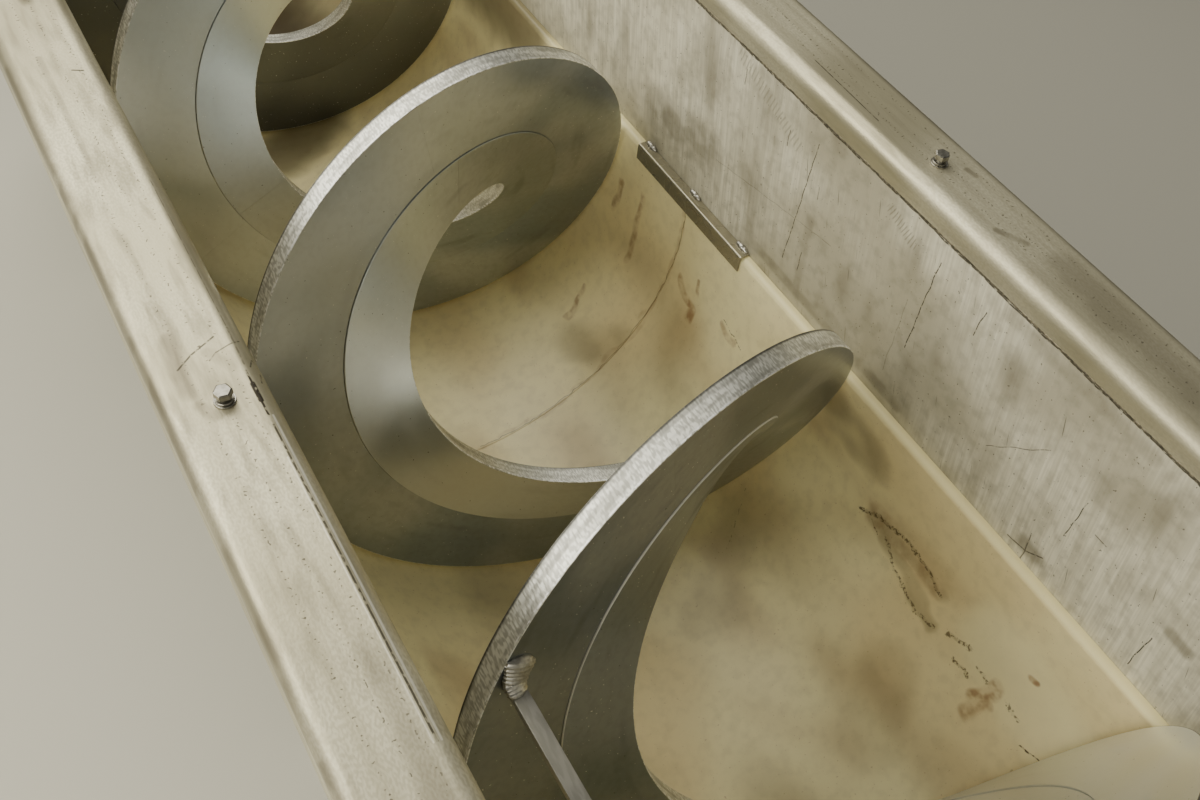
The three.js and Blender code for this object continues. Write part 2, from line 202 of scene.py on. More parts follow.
class Step(Enum):
    """A node that finishes are drawn with.

    Each value holds the node's type, the sockets that take values, the socket that it puts out
    and its settings.
    """

    PLACE = ("ShaderNodeTexCoord", (), "Object", {})
    WOUND = ("ShaderNodeAttribute", (), "Vector", {"attribute_name": WOUND_ATTRIBUTE})
    NOISE = ("ShaderNodeTexNoise", ("Vector", "Scale", "Detail"), "Fac", {})
    CELLS = ("ShaderNodeTexNoise", ("Vector", "Scale", "Detail"), "Color", {})
    # soft ends and no overshoot: the value, the range it comes from and the range it goes to
    RAMP = ("ShaderNodeMapRange", range(5), 0, {"interpolation_type": "SMOOTHSTEP"})
    RAMPS = (
        "ShaderNodeMapRange",
        range(6, 11),
        1,
        {"data_type": "FLOAT_VECTOR", "interpolation_type": "SMOOTHSTEP"},
    )
    BLEND = ("ShaderNodeMix", (6, 7, 0), 2, {"data_type": "RGBA"})
    BUMP = ("ShaderNodeBump", ("Height", "Distance", "Strength"), 0, {})
    X = ("ShaderNodeSeparateXYZ", (0,), "X", {})
    Y = ("ShaderNodeSeparateXYZ", (0,), "Y", {})
    Z = ("ShaderNodeSeparateXYZ", (0,), "Z", {})
    # kept between 0 and 1
    TIMES = sums("MULTIPLY", use_clamp=True)
    PLUS = sums("ADD", use_clamp=True)
    LARGER = sums("MAXIMUM", use_clamp=True)
    # left as they come
    SCALED = sums("MULTIPLY")
    STACKED = sums("MULTIPLY_ADD")
    ANGLE = sums("ARCTAN2")
    SINE = sums("SINE")
    NEAR = sums("COMPARE")
    EACH_PLUS = sums("ADD", True)
    EACH_LESS = sums("SUBTRACT", True)
    EACH_TIMES = sums("MULTIPLY", True)
    EACH_STACKED = sums("MULTIPLY_ADD", True)
    EACH_LARGER = sums("MAXIMUM", True)
    EACH_SMALLER = sums("MINIMUM", True)
    EACH_UNSIGNED = sums("ABSOLUTE", True)
    LENGTH = sums("LENGTH", True, "Value")
    ALONG = sums("DOT_PRODUCT", True, "Value")


class Draft:
    """A material being drawn up: its node tree, its shader and the place it reads, in millimetres."""

    def __init__(self, name: str) -> None:
        """Starts a material with a name."""
        self.material = bpy.data.materials.new(name)
        self.material.use_nodes = True
        self.tree = self.material.node_tree
        self.shader = self.tree.nodes["Principled BSDF"]
        shift = (0.0, -DATUM.station_zero / MM, -DATUM.axis_height / MM)
        self.place = self.add(Step.EACH_STACKED, self.add(Step.PLACE), (1 / MM,) * 3, shift)
        self.drawn_on = self.place

    def add(self, step: Step, *values: Any) -> Socket:
        """Adds one node with its settings and links.

        Args:
            step: What the node is.
            *values: For each socket that takes one, a value or the socket that it is linked from.

        Returns:
            The socket that the node puts out.
        """
        kind, sockets, result, settings = step.value
        node = self.tree.nodes.new(kind)
        for name, setting in settings.items():
            setattr(node, name, setting)
        for key, value in zip(sockets, values):
            if isinstance(value, Socket):
                self.tree.links.new(value, node.inputs[key])
            else:
                node.inputs[key].default_value = value
        return node.outputs[result]

    def noise(
        self, size: Point, detail: float = 1.0, shift: float = 0.0, source: Socket | None = None
    ) -> Socket:
        """Soft noise with cells of a real size.

        Args:
            size: A cell's size along each axis in millimetres.
            detail: Octaves of finer noise on top.
            shift: Moves the pattern, so that two of one size differ.
            source: Coordinates to read in place of the object's.

        Returns:
            A socket with the noise, mostly between 0.2 and 0.8.
        """
        scale = tuple(1 / length for length in size)
        placed = self.add(Step.EACH_STACKED, source or self.place, scale, (shift,) * 3)
        return self.add(Step.NOISE, placed, 1.0, detail)

    def leaning(self, slope: float) -> Socket:
        """The place, its stations falling back by a slope as it rises."""
        return self.add(Step.EACH_STACKED, self.add(Step.Z, self.place), (0.0, -slope, 0.0), self.place)

    def patches(
        self, size: Point, low: float, high: float, most: float = 1.0, least: float = 0.0, **noise: Any
    ) -> Socket:
        """Soft random patches, from a least outside to a most inside.

        Args:
            size: A patch's size along each axis in millimetres.
            low: Noise value where a patch starts.
            high: Noise value where it is full.
            most: The value inside.
            least: The value outside.
            **noise: What else the noise is given.

        Returns:
            A socket with the patches.
        """
        return self.add(Step.RAMP, self.noise(size, **noise), low, high, least, most)

    def part(self, pattern: Socket, most: float, least: float = 0.0) -> Socket:
        """A pattern from 0 to 1, brought between a least and a most."""
        return self.add(Step.RAMP, pattern, 0.0, 1.0, least, most)

    def window(self, value: Socket, stops: Sequence[float], most: float) -> Socket:
        """Rises to a most between the first two stops and falls to 0 between the last two."""
        rise = self.add(Step.RAMP, value, *stops[:2], 0.0, most)
        return self.add(Step.TIMES, rise, self.add(Step.RAMP, value, *stops[2:], 1.0, 0.0))

    def coats(self, base: Any, *coats: tuple[str, Any]) -> Socket:
        """Lays colours over a first one.

        Args:
            base: The first colour, or a socket with what is there already.
            *coats: Each further colour and the pattern by which it covers.

        Returns:
            A socket with the whole.
        """
        whole = linear(base) if isinstance(base, str) else base
        for over, amount in coats:
            whole = self.add(Step.BLEND, whole, linear(over), amount)
        return whole

    def crook(self, size: float, reach: float) -> None:
        """Makes the marks that are drawn from here on crooked.

        Args:
            size: Length of a crook in millimetres.
            reach: How far it strays to each side.
        """
        cells = self.add(Step.CELLS, self.place, 1 / size, 0.0)
        stray = self.add(Step.EACH_PLUS, cells, (-0.5, -0.5, -0.5))
        self.drawn_on = self.add(Step.EACH_STACKED, stray, (3 * reach,) * 3, self.place)

    def lines(self, face: Face, marks: Sequence["Mark"]) -> Socket:
        """Marks on a face as one pattern, 1 on a mark and 0 beside it.

        Three marks share the three parts of a vector, which renders faster than one by one.

        Args:
            face: The face that they lie on.
            marks: The marks.

        Returns:
            A socket with the pattern.
        """
        x, station, z = self.add(Step.X, self.drawn_on).node.outputs
        across = z if face is Face.RIGHT_WALL else x
        if face is Face.LINER:
            across = self.add(Step.SCALED, self.add(Step.ANGLE, z, x), SIZES.liner_inner)
        whole = None
        for first in range(0, len(marks), 3):
            rows = [mark.on(face) for mark in marks[first : first + 3]]
            rows += rows[-1:] * (3 - len(rows))
            aside, past, half, fades, gone, strength = zip(*rows)
            offsets = []
            for by_station, by_across, fixed in (zip(*aside), zip(*past)):
                offset = self.add(Step.EACH_STACKED, across, by_across, fixed)
                offsets.append(self.add(Step.EACH_STACKED, station, by_station, offset))
            beyond = self.add(Step.EACH_LESS, self.add(Step.EACH_UNSIGNED, offsets[1]), half)
            beyond = self.add(Step.EACH_LARGER, beyond, (0.0, 0.0, 0.0))
            square = self.add(Step.EACH_TIMES, offsets[0], offsets[0])
            square = self.add(Step.EACH_STACKED, beyond, beyond, square)
            drawn = self.add(Step.RAMPS, square, fades, gone, strength, (0.0, 0.0, 0.0))
            whole = drawn if whole is None else self.add(Step.EACH_LARGER, whole, drawn)
        one, two, three = self.add(Step.X, whole).node.outputs
        most = self.add(Step.LARGER, self.add(Step.LARGER, one, two), three)
        if face is Face.LINER:
            return most
        if face is Face.RAIL_TOPS:
            # kept off the lips, which hang below the top
            on_face = self.add(Step.RAMP, z, SIZES.rail_top - 16.0, SIZES.rail_top - 6.0, 0.0, 1.0)
        else:
            on_face = self.add(Step.NEAR, self.add(Step.X, self.place), SIZES.half_width, 2.0)
        return self.add(Step.TIMES, most, on_face)

    def ripples(self, face: Face, row: "Chatter") -> Socket:
        """A row of ripples across a line, fading out at its sides."""
        waves = (Vector(row.end) - Vector(row.start)).normalized() * (math.tau / row.spacing)
        sine = self.add(Step.SINE, self.add(Step.ALONG, self.drawn_on, waves[:]))
        mask = self.lines(face, [Mark(row.start, row.end, row.reach, row.strength, 0.5)])
        return self.add(Step.TIMES, self.add(Step.RAMP, sine, 0.1, 0.9, 0.0, 1.0), mask)

    def link(self, **sockets: Socket) -> None:
        """Links patterns to the shader's sockets, spelled with underscores."""
        for name, pattern in sockets.items():
            self.tree.links.new(pattern, self.shader.inputs[name.replace("_", " ").title()])

    def relief(self, *layers: tuple[Socket, float]) -> None:
        """Gives the surface its relief.

        Args:
            *layers: A height from 0 to 1 and its depth in millimetres, for each layer.
        """
        height, depth = layers[0]
        whole = self.add(Step.SCALED, height, depth * MM)
        for height, depth in layers[1:]:
            whole = self.add(Step.STACKED, height, depth * MM, whole)
        self.link(normal=self.add(Step.BUMP, whole, 1.0, 1.0))

    def settle(self, **sockets: Any) -> Material:
        """Sets the shader's plain sockets, spelled with underscores, and hands the material over."""
        for name, value in sockets.items():
            self.shader.inputs[name.replace("_", " ").title().replace("Ior", "IOR")].default_value = value
        return self.material


@dataclass(frozen=True)
class Mark:
    """A straight scratch, stain or smear, in the conveyor's own axes."""

    start: Point
    end: Point
    width: float
    strength: float = 1.0
    softness: float = 0.7

    def on(self, face: Face) -> tuple[Any, ...]:
        """What draws the mark on an unrolled face.

        Args:
            face: The face.

        Returns:
            Factors by station, by width and fixed for the distance aside and for that along from
            its middle, half its length, the squared distances where it starts to fade and where
            it is gone, and its strength.
        """
        start, end = Vector(face.flat(self.start)), Vector(face.flat(self.end))
        middle = (start + end) / 2
        way = (end - start).normalized()
        # fading by the square of the distance carries further than by the distance itself
        edge = self.width / 2 * (1 - 0.25 * self.softness)
        return (
            (-way.y, way.x, way.y * middle.x - way.x * middle.y),
            (way.x, way.y, -way.dot(middle)),
            (end - start).length / 2,
            (edge * (1 - self.softness)) ** 2,
            edge**2,
            self.strength,
        )


def marked(face: Face, *rows: tuple[Any, ...]) -> tuple[Mark, ...]:
    """Marks on a face.

    Args:
        face: The face. A point on the wall is given as station and height, one on the rails' tops
            as x and station, and one on the liner as all three.
        *rows: Each mark's width, strength, softness and the points that it runs through.

    Returns:
        The marks, one for each straight part.
    """
    before = (SIZES.half_width,) if face is Face.RIGHT_WALL else ()
    after = (SIZES.rail_top,) if face is Face.RAIL_TOPS else ()
    return tuple(
        Mark((*before, *a, *after), (*before, *b, *after), width, strength, softness)
        for width, strength, softness, *points in rows
        for a, b in zip(points, points[1:])
    )


def by_station(marks: Iterable[Mark], start: float, end: float) -> tuple[Mark, ...]:
    """The marks that lie between two stations, or reach in between them."""
    return tuple(
        mark
        for mark in marks
        if mark.start[1] < end and mark.end[1] < end + 60 and max(mark.start[1], mark.end[1]) > start
    )


def by_side(marks: Iterable[Mark], side: Side) -> tuple[Mark, ...]:
    """The marks on one side of the trough."""
    return tuple(m for m in marks if m.start[0] * side.value > 0)


@dataclass(frozen=True)
class Chatter:
    """A row of short ripples that a skating grinder left, in the conveyor's own axes."""

    start: Point
    end: Point
    reach: float
    spacing: float = 7.0
    strength: float = 0.5


WALL_MARKS = marked(
    Face.RIGHT_WALL,
    (1.5, 1.0, 0.7, (1044, 227), (1049, 82)),
    (1.3, 0.45, 0.7, (1175, 110), (1079, 129), (995, 145)),
    (1.6, 1.0, 0.7, (879, 228), (878, 123)),
    (1.5, 1.0, 0.7, (821, 225), (823, 195)),
    (1.6, 0.8, 0.7, (1027, 108), (1026, 85)),
    (1.5, 0.6, 0.7, (1029, 189), (1027, 176)),
    (1.8, 0.8, 0.7, (1083, 216), (1082, 197)),
    (1.6, 0.8, 0.7, (1158, 232), (1157, 215)),
    (2.4, 0.8, 0.7, (707, 53), (687, 55), (671, 66)),
    (2.0, 0.7, 0.7, (690, 78), (686, 43)),
    (1.5, 1.0, 0.7, (668, 107), (668, 154)),
    (1.5, 1.0, 0.7, (568, 56), (568, 100)),
    (1.8, 0.8, 0.7, (649, 135), (637, 135)),
    (1.8, 0.3, 0.7, (895, 169), (890, 79)),
    (2.6, 0.9, 0.5, (2446, 249.2), (1.0, 249.2)),
    (1.4, 0.7, 0.7, (715, 166), (765, 112)),
)
WALL_CHATTER = (
    Chatter((267, 1167, 240), (267, 1070, 208), 20.0, spacing=5.0, strength=0.4),
    Chatter((267, 943, 232), (267, 912, 222), 17.0, spacing=3.6, strength=0.55),
)
WALL_SMUDGES = marked(
    Face.RIGHT_WALL,
    (95.0, 0.55, 0.95, (1290, 95), (1195, 110)),
    (60.0, 0.3, 0.95, (1130, 235), (1110, 190)),
    (34.0, 0.6, 0.95, (690, 62), (676, 60)),
    (44.0, 0.35, 0.95, (980, 70), (930, 60)),
    (20.0, 0.35, 0.95, (1028, 150), (1020, 60)),
    (24.0, 0.6, 0.95, (560, 120), (545, 118)),
    (26.0, 0.3, 0.95, (800, 240), (650, 238)),
    (22.0, 0.5, 0.95, (1090, 62), (860, 58)),
)
RAIL_MARKS = marked(
    Face.RAIL_TOPS,
    (1.6, 0.9, 0.7, (288, 1097), (286, 1004)),
    (1.2, 0.45, 0.7, (-275, 1184), (-275, 1022)),
    (2.0, 0.5, 0.7, (-275, 1020), (-276, 984)),
    (2.6, 1.0, 0.7, (-277, 978), (-277, 937)),
    (4.6, 1.0, 0.4, (-277, 966), (-277, 950)),
    (2.4, 0.85, 0.7, (-277, 928), (-277, 690)),
    (2.2, 0.85, 0.7, (-286, 1015), (-304, 1006), (-316, 997)),
    (1.8, 0.7, 0.7, (-272, 1006), (-289, 1001), (-295, 996)),
    (2.4, 1.0, 0.7, (-290, 1337), (-282, 1333)),
    (1.6, 0.7, 0.7, (-270, 988), (-273, 981)),
    (1.6, 0.7, 0.7, (-269, 975), (-271, 966)),
)
RAIL_SCRAPES = marked(
    Face.RAIL_TOPS,
    (2.2, 0.9, 0.7, (-274.4, 936), (-274.4, 690)),
    (1.6, 0.6, 0.7, (-278.6, 900), (-279.2, 690)),
)
RAIL_SMUDGES = marked(
    Face.RAIL_TOPS,
    (10.0, 0.7, 0.9, (314, 922), (315, 913)),
    (11.0, 0.7, 0.9, (286, 856), (297, 834)),
    (9.0, 0.45, 0.9, (-309, 1363), (-309, 1199)),
    (20.0, 0.65, 0.95, (-313, 1026), (-317, 975)),
    (16.0, 0.55, 0.95, (-313, 962), (-306, 950)),
    (14.0, 0.4, 0.95, (-294, 1004), (-284, 985)),
    (30.0, 0.3, 0.9, (-285, 760), (-290, 640)),
    # painted shade: these two full-length rows darken the outer bends, and the wide patch after them darkens
    # the right rail
    (26.0, 0.75, 0.95, (-338, 2440), (-338, 5)),
    (30.0, 0.9, 0.95, (338, 2440), (338, 5)),
    (60.0, 0.45, 0.95, (305, 800), (300, 560)),
)
FLECK_ROWS = tuple(
    Mark((x, 2440, 276), (x, 5, 276), 5.5, softness=0.9) for x in (-284, -297, -311, 292, 303, 318)
)
TRACK_1 = (
    (247, 836, -69), (250, 822, -60), (251, 799, -53), (252, 776, -49), (251, 746, -53), (249, 720, -62)
)
TRACK_2 = ((247, 796, -69), (242, 770, -85), (240, 746, -92), (238, 728, -97), (240, 706, -91))
JOINT_LINE = ((256, 1194, 24), (9, 1197, -257))
LINER_MARKS = {
    "marks": marked(
        Face.LINER,
        (8.0, 0.9, 0.7, *TRACK_1),
        (6.5, 0.8, 0.7, *TRACK_2),
        (3.0, 0.9, 0.7, (248, 820, -67), (246, 806, -73)),
        (9.0, 0.85, 0.7, (242, 692, -84), (246, 668, -75)),
        (8.0, 0.9, 0.7, (238, 672, -96), (238, 654, -96)),
        (7.0, 0.75, 0.7, (243, 652, -82), (242, 636, -85)),
        (7.0, 0.75, 0.7, (243, 612, -82), (242, 595, -85)),
        (3.0, 1.0, 0.7, (221, 566, -130), (227, 567, -121)),
        (2.6, 1.0, 0.7, (236, 579, -100), (239, 558, -95)),
        (1.8, 0.7, 0.7, (253, 1093, -46), (250, 1056, -56)),
        (1.8, 0.4, 0.7, (206, 952, -153), (165, 915, -197)),
    ),
    "seams": marked(Face.LINER, (1.5, 0.55, 0.6, *JOINT_LINE)),
    "stains": marked(
        Face.LINER,
        (12.0, 0.3, 0.95, *JOINT_LINE),
        (24.0, 0.75, 0.9, (234, 637, -106), (243, 624, -83)),
        (24.0, 0.6, 0.9, (226, 633, -123), (237, 623, -99)),
        (12.0, 0.8, 0.9, (253, 612, -41), (254, 605, -40)),
        (18.0, 0.7, 0.95, (250, 1175, -59), (247, 1142, -69), (242, 1141, -87)),
        (12.0, 0.55, 0.95, (254, 1148, -36), (252, 1144, -51)),
        (14.0, 0.45, 0.95, (251, 1095, -53), (250, 1067, -59)),
        (12.0, 0.6, 0.9, (200, 1289, -161), (171, 1282, -191)),
        (20.0, 0.55, 0.9, (256, 1274, -21), (237, 1262, -98)),
        (16.0, 0.6, 0.9, (255, 1317, -25), (248, 1315, -67)),
        (40.0, 0.35, 0.95, (250, 822, -60), (249, 726, -62)),
    ),
    # the narrow rows along the tracks are dust; the wide soft patches are painted shadow where the flights
    # shade the liner
    "shades": marked(
        Face.LINER,
        (110.0, 0.38, 0.98, (206, 705, -153), (165, 667, -196)),
        (30.0, 0.5, 0.98, (250, 822, -60), (249, 720, -62)),
        (26.0, 0.5, 0.98, (247, 796, -69), (240, 706, -91)),
        (90.0, 0.5, 0.98, (164, 1253, -197), (195, 1191, -167)),
        (120.0, 0.35, 0.98, (120, 870, -227), (190, 930, -172)),
        (80.0, 0.6, 0.98, (257, 930, 0), (257, 850, -10)),
    ),
    # painted light: a lighter patch on the side of the liner
    "lights": marked(Face.LINER, (150.0, 0.6, 0.98, (251, 650, -50), (244, 520, -70))),
    # painted shade: the far end of the liner and a strip up its right side, darkened as in shadow
    "darks": marked(
        Face.LINER,
        (420.0, 0.97, 0.9, (60, 1960, -250), (60, 2300, -250)),
        (170.0, 0.75, 0.95, (-10, 1790, -256), (60, 1830, -248)),
        (200.0, 0.75, 0.95, (262, 1740, 20), (262, 1560, 30)),
    ),
}


class Grain(Enum):
    """Which way a plate was rolled: its fine grain, broad bands, mottle and smears, and its slant."""

    ALONG_TROUGH = ((1.5, 3.0, 1.5), (8.0, 420.0, 8.0), (7.0, 40.0, 7.0), (18.0, 190.0, 18.0), 0.0)
    UP_THE_WALL = ((60.0, 1.6, 36.0), (60.0, 6.0, 66.0), (12.0, 12.0, 12.0), (46.0, 40.0, 80.0), 0.14)

    def __init__(self, fine: Point, broad: Point, mottle: Point, smear: Point, slant: float) -> None:
        """Names the sizes, in millimetres along each axis, and the slope."""
        self.fine = fine
        self.broad = broad
        self.mottle = mottle
        self.smear = smear
        self.slant = slant


@dataclass(frozen=True)
class PickledSheet:
    """Stainless sheet, cold rolled and pickled.

    It gives a satin, warm grey with fine grain lines, soft clouds where the acid bit unevenly,
    flecks and the scratches of handling.
    """

    name: str
    grain: Grain
    face: Face = Face.RIGHT_WALL
    tint: str = "#EEEAD8"
    shade: str = "#B9B4A0"
    stain: str = "#7C7563"
    scratch: str = "#352F26"
    bright: str = "#F8F4E6"
    roughness: tuple[float, float] = (0.48, 0.62)
    metallic: float = 0.3
    stain_amount: float = 0.5
    mottle_amount: float = 0.3
    outside_calm: float = 0.0
    stray: float = 0.9
    grain_amount: float = 0.34
    fleck_from: float = 0.80
    hair: float = 0.6
    fleck_rows: tuple[Mark, ...] = ()
    marks: tuple[Mark, ...] = ()
    scrapes: tuple[Mark, ...] = ()
    smudges: tuple[Mark, ...] = ()
    chatter: tuple[Chatter, ...] = ()

    def build(self) -> Material:
        """Draws up the material."""
        draft = Draft(self.name)
        slanted = draft.leaning(self.grain.slant) if self.grain.slant else draft.place
        clouds = draft.patches((170.0, 170.0, 120.0), 0.30, 0.66)
        broad = draft.patches(self.grain.broad, 0.34, 0.70, most=0.42, shift=2.0, source=slanted)
        grain = draft.patches(self.grain.fine, 0.24, 0.76, detail=0.0, shift=3.0, source=slanted)
        mottle = draft.patches(self.grain.mottle, 0.40, 0.75, most=self.mottle_amount, detail=2.0, shift=5.0)
        smears = draft.patches(self.grain.smear, 0.54, 0.78, self.stain_amount, shift=7.0, source=slanted)
        if self.outside_calm:
            calm = self.calmed(draft)
            smears, mottle = draft.add(Step.TIMES, smears, calm), draft.add(Step.TIMES, mottle, calm)
        # real flecks are under 1 mm: drawn 2 mm across, so that they show
        fleck_to = self.fleck_from + 0.06
        specks = draft.patches((2.0, 2.0, 2.0), self.fleck_from, fleck_to, most=0.7, detail=0.0, shift=11.0)
        if self.fleck_rows:
            specks = draft.add(Step.TIMES, specks, draft.lines(self.face, self.fleck_rows))
        if self.hair:
            size, across = (34.0, 1.6, 30.0), draft.leaning(0.3)
            hair = draft.patches(size, 0.80, 0.86, most=self.hair, detail=0.0, shift=15.0, source=across)
            specks = draft.add(Step.LARGER, specks, hair)
        colour = draft.coats(
            self.shade,
            (self.tint, clouds),
            (self.shade, broad),
            (self.shade, draft.part(grain, self.grain_amount)),
            (self.stain, mottle),
            (self.stain, smears),
            (self.scratch, specks),
        )
        draft.link(base_color=self.worn(draft, colour))
        rough = draft.add(Step.RAMP, clouds, 0.0, 1.0, *self.roughness)
        draft.link(roughness=draft.add(Step.PLUS, rough, draft.add(Step.RAMP, mottle, 0.0, 0.35, 0.0, 0.1)))
        dents = draft.patches((70.0, 70.0, 70.0), 0.2, 0.8, detail=0.0, shift=23.0)
        draft.relief((grain, 0.03), (dents, 0.15))
        return draft.settle(metallic=self.metallic)

    def calmed(self, draft: Draft) -> Socket:
        """How far stains show: fully inside the trough, and faintly outside, where it never got wet."""
        section = draft.add(Step.EACH_TIMES, draft.place, (1.0, 0.0, 1.0))
        # above the axis the wall stands straight, so only the width counts there
        section = draft.add(Step.EACH_SMALLER, section, (9999.0, 9999.0, 0.0))
        middle = SIZES.half_width + SIZES.plate / 2
        reach = draft.add(Step.LENGTH, section)
        return draft.add(Step.RAMP, reach, middle - 0.5, middle + 0.5, 1.0, 1.0 - self.outside_calm)

    def worn(self, draft: Draft, colour: Socket) -> Socket:
        """Lays smudge marks with their painted shade, scratches, scrapes and grinding marks over a colour."""
        # the smudge marks are dirt, and on the rails also painted shade
        if self.smudges:
            dirt = draft.part(draft.patches((22.0, 30.0, 22.0), 0.3, 0.6, shift=21.0), 1.0, 0.45)
            dirt = draft.add(Step.TIMES, draft.lines(self.face, self.smudges), dirt)
            colour = draft.coats(colour, (self.stain, dirt))
        if self.marks:
            if self.stray:
                draft.crook(16.0, self.stray)
            torn = draft.part(draft.patches((3.0, 5.0, 3.0), 0.30, 0.54, shift=17.0), 1.0, 0.3)
            drawn = draft.add(Step.TIMES, draft.lines(self.face, self.marks), torn)
            colour = draft.coats(colour, (self.scratch, drawn))
        if self.scrapes:
            colour = draft.coats(colour, (self.bright, draft.lines(self.face, self.scrapes)))
        return draft.coats(colour, *((self.stain, draft.ripples(self.face, row)) for row in self.chatter))


@dataclass(frozen=True)
class WearPlastic:
    """Polyethylene liner sheet, pressed and skived.

    It gives a cream, waxy face with clouds of amber from the first wet tests, grey-brown dust,
    painted shadow under the flights, painted shade at its far end, painted light up its sides, and
    dark speckled tracks where metal was dragged.
    """

    name: str = "pressed_wear_polyethylene"
    cream: str = "#FFF5C6"
    amber: str = "#CDAE74"
    brown: str = "#8E6433"
    rust: str = "#84502A"
    dust: str = "#7A6B4C"
    # the colour of the painted shade over the far end
    dark: str = "#4A3D26"
    track: str = "#57462A"
    # painted shade colour of the rounded top edge
    ledge: str = "#EDE3AE"
    marks: tuple[Mark, ...] = ()
    seams: tuple[Mark, ...] = ()
    stains: tuple[Mark, ...] = ()
    shades: tuple[Mark, ...] = ()
    darks: tuple[Mark, ...] = ()
    lights: tuple[Mark, ...] = ()

    @classmethod
    def between(cls, name: str, start: float, end: float) -> "WearPlastic":
        """The finish of one length of liner, with the marks that lie on it."""
        return cls(name, **{kind: by_station(marks, start, end) for kind, marks in LINER_MARKS.items()})

    def build(self) -> Material:
        """Draws up the material."""
        draft = Draft(self.name)
        clouds = draft.patches((190.0, 230.0, 190.0), 0.38, 0.70)
        blots = draft.patches((80.0, 150.0, 80.0), 0.50, 0.80, most=0.38, shift=5.0)
        veils = draft.patches((130.0, 210.0, 130.0), 0.50, 0.80, most=0.42, shift=6.0)
        mottle = draft.patches((13.0, 13.0, 13.0), 0.4, 0.75, most=0.12, detail=2.0, shift=9.0)
        # real specks are grains of under a millimetre: drawn 2 mm across, so that they show
        speckle = draft.patches((2.0, 2.0, 2.0), 0.76, 0.88, most=0.35, detail=0.0, shift=10.0)
        height = draft.add(Step.Z, draft.place)
        # painted shade: the rounded top edge is painted an even, darker cream, toning down the light it
        # catches
        ledge = draft.add(Step.RAMP, height, SIZES.liner_top - 5.0, SIZES.liner_top - 2.5, 0.0, 0.8)
        # painted light: the blots and veils thin out up the sides, leaving them lighter where the light falls
        clean = draft.add(Step.RAMP, height, -70.0, 15.0, 1.0, 0.25)
        colour = draft.coats(
            self.cream,
            (self.amber, draft.part(clouds, 0.40)),
            (self.brown, draft.add(Step.TIMES, blots, clean)),
            (self.dust, draft.add(Step.TIMES, veils, clean)),
            (self.dust, mottle),
            (self.brown, speckle),
            (self.ledge, ledge),
        )
        uneven = draft.patches((44.0, 60.0, 44.0), 0.24, 0.74, least=0.3, shift=21.0)
        blotchy = draft.patches((12.0, 12.0, 12.0), 0.34, 0.66, least=0.25, shift=22.0, detail=2.0)
        draft.crook(26.0, 5.0)
        # the first layer is painted light, the second dust along the tracks with painted shadow, the third
        # painted shade over the far end, the last real stains
        layers = (
            (self.lights, self.cream, None),
            (self.shades, self.dust, uneven),
            (self.darks, self.dark, None),
            (self.stains, self.rust, blotchy),
        )
        for marks, over, mask in layers:
            if marks:
                amount = draft.lines(Face.LINER, marks)
                if mask is not None:
                    amount = draft.add(Step.TIMES, amount, mask)
                colour = draft.coats(colour, (over, amount))
        draft.crook(9.0, 1.6)
        scored = draft.lines(Face.LINER, self.seams)
        if self.marks:
            torn = draft.patches((2.8, 2.8, 2.8), 0.46, 0.60, shift=23.0)
            drawn = draft.lines(Face.LINER, self.marks)
            core = draft.add(Step.RAMP, drawn, 0.6, 0.95, 0.0, 0.7)
            core = draft.add(Step.TIMES, core, draft.part(torn, 1.0, 0.4))
            crumbs = draft.add(Step.TIMES, drawn, torn)
            scored = draft.add(Step.LARGER, scored, draft.add(Step.LARGER, core, crumbs))
        colour = draft.coats(colour, (self.track, scored))
        draft.link(base_color=colour, roughness=draft.part(clouds, 0.5, 0.36))
        draft.relief((draft.patches((90.0, 120.0, 90.0), 0.3, 0.7, detail=0.0, shift=25.0), 0.5))
        return draft.settle(metallic=0.0, ior=1.51)


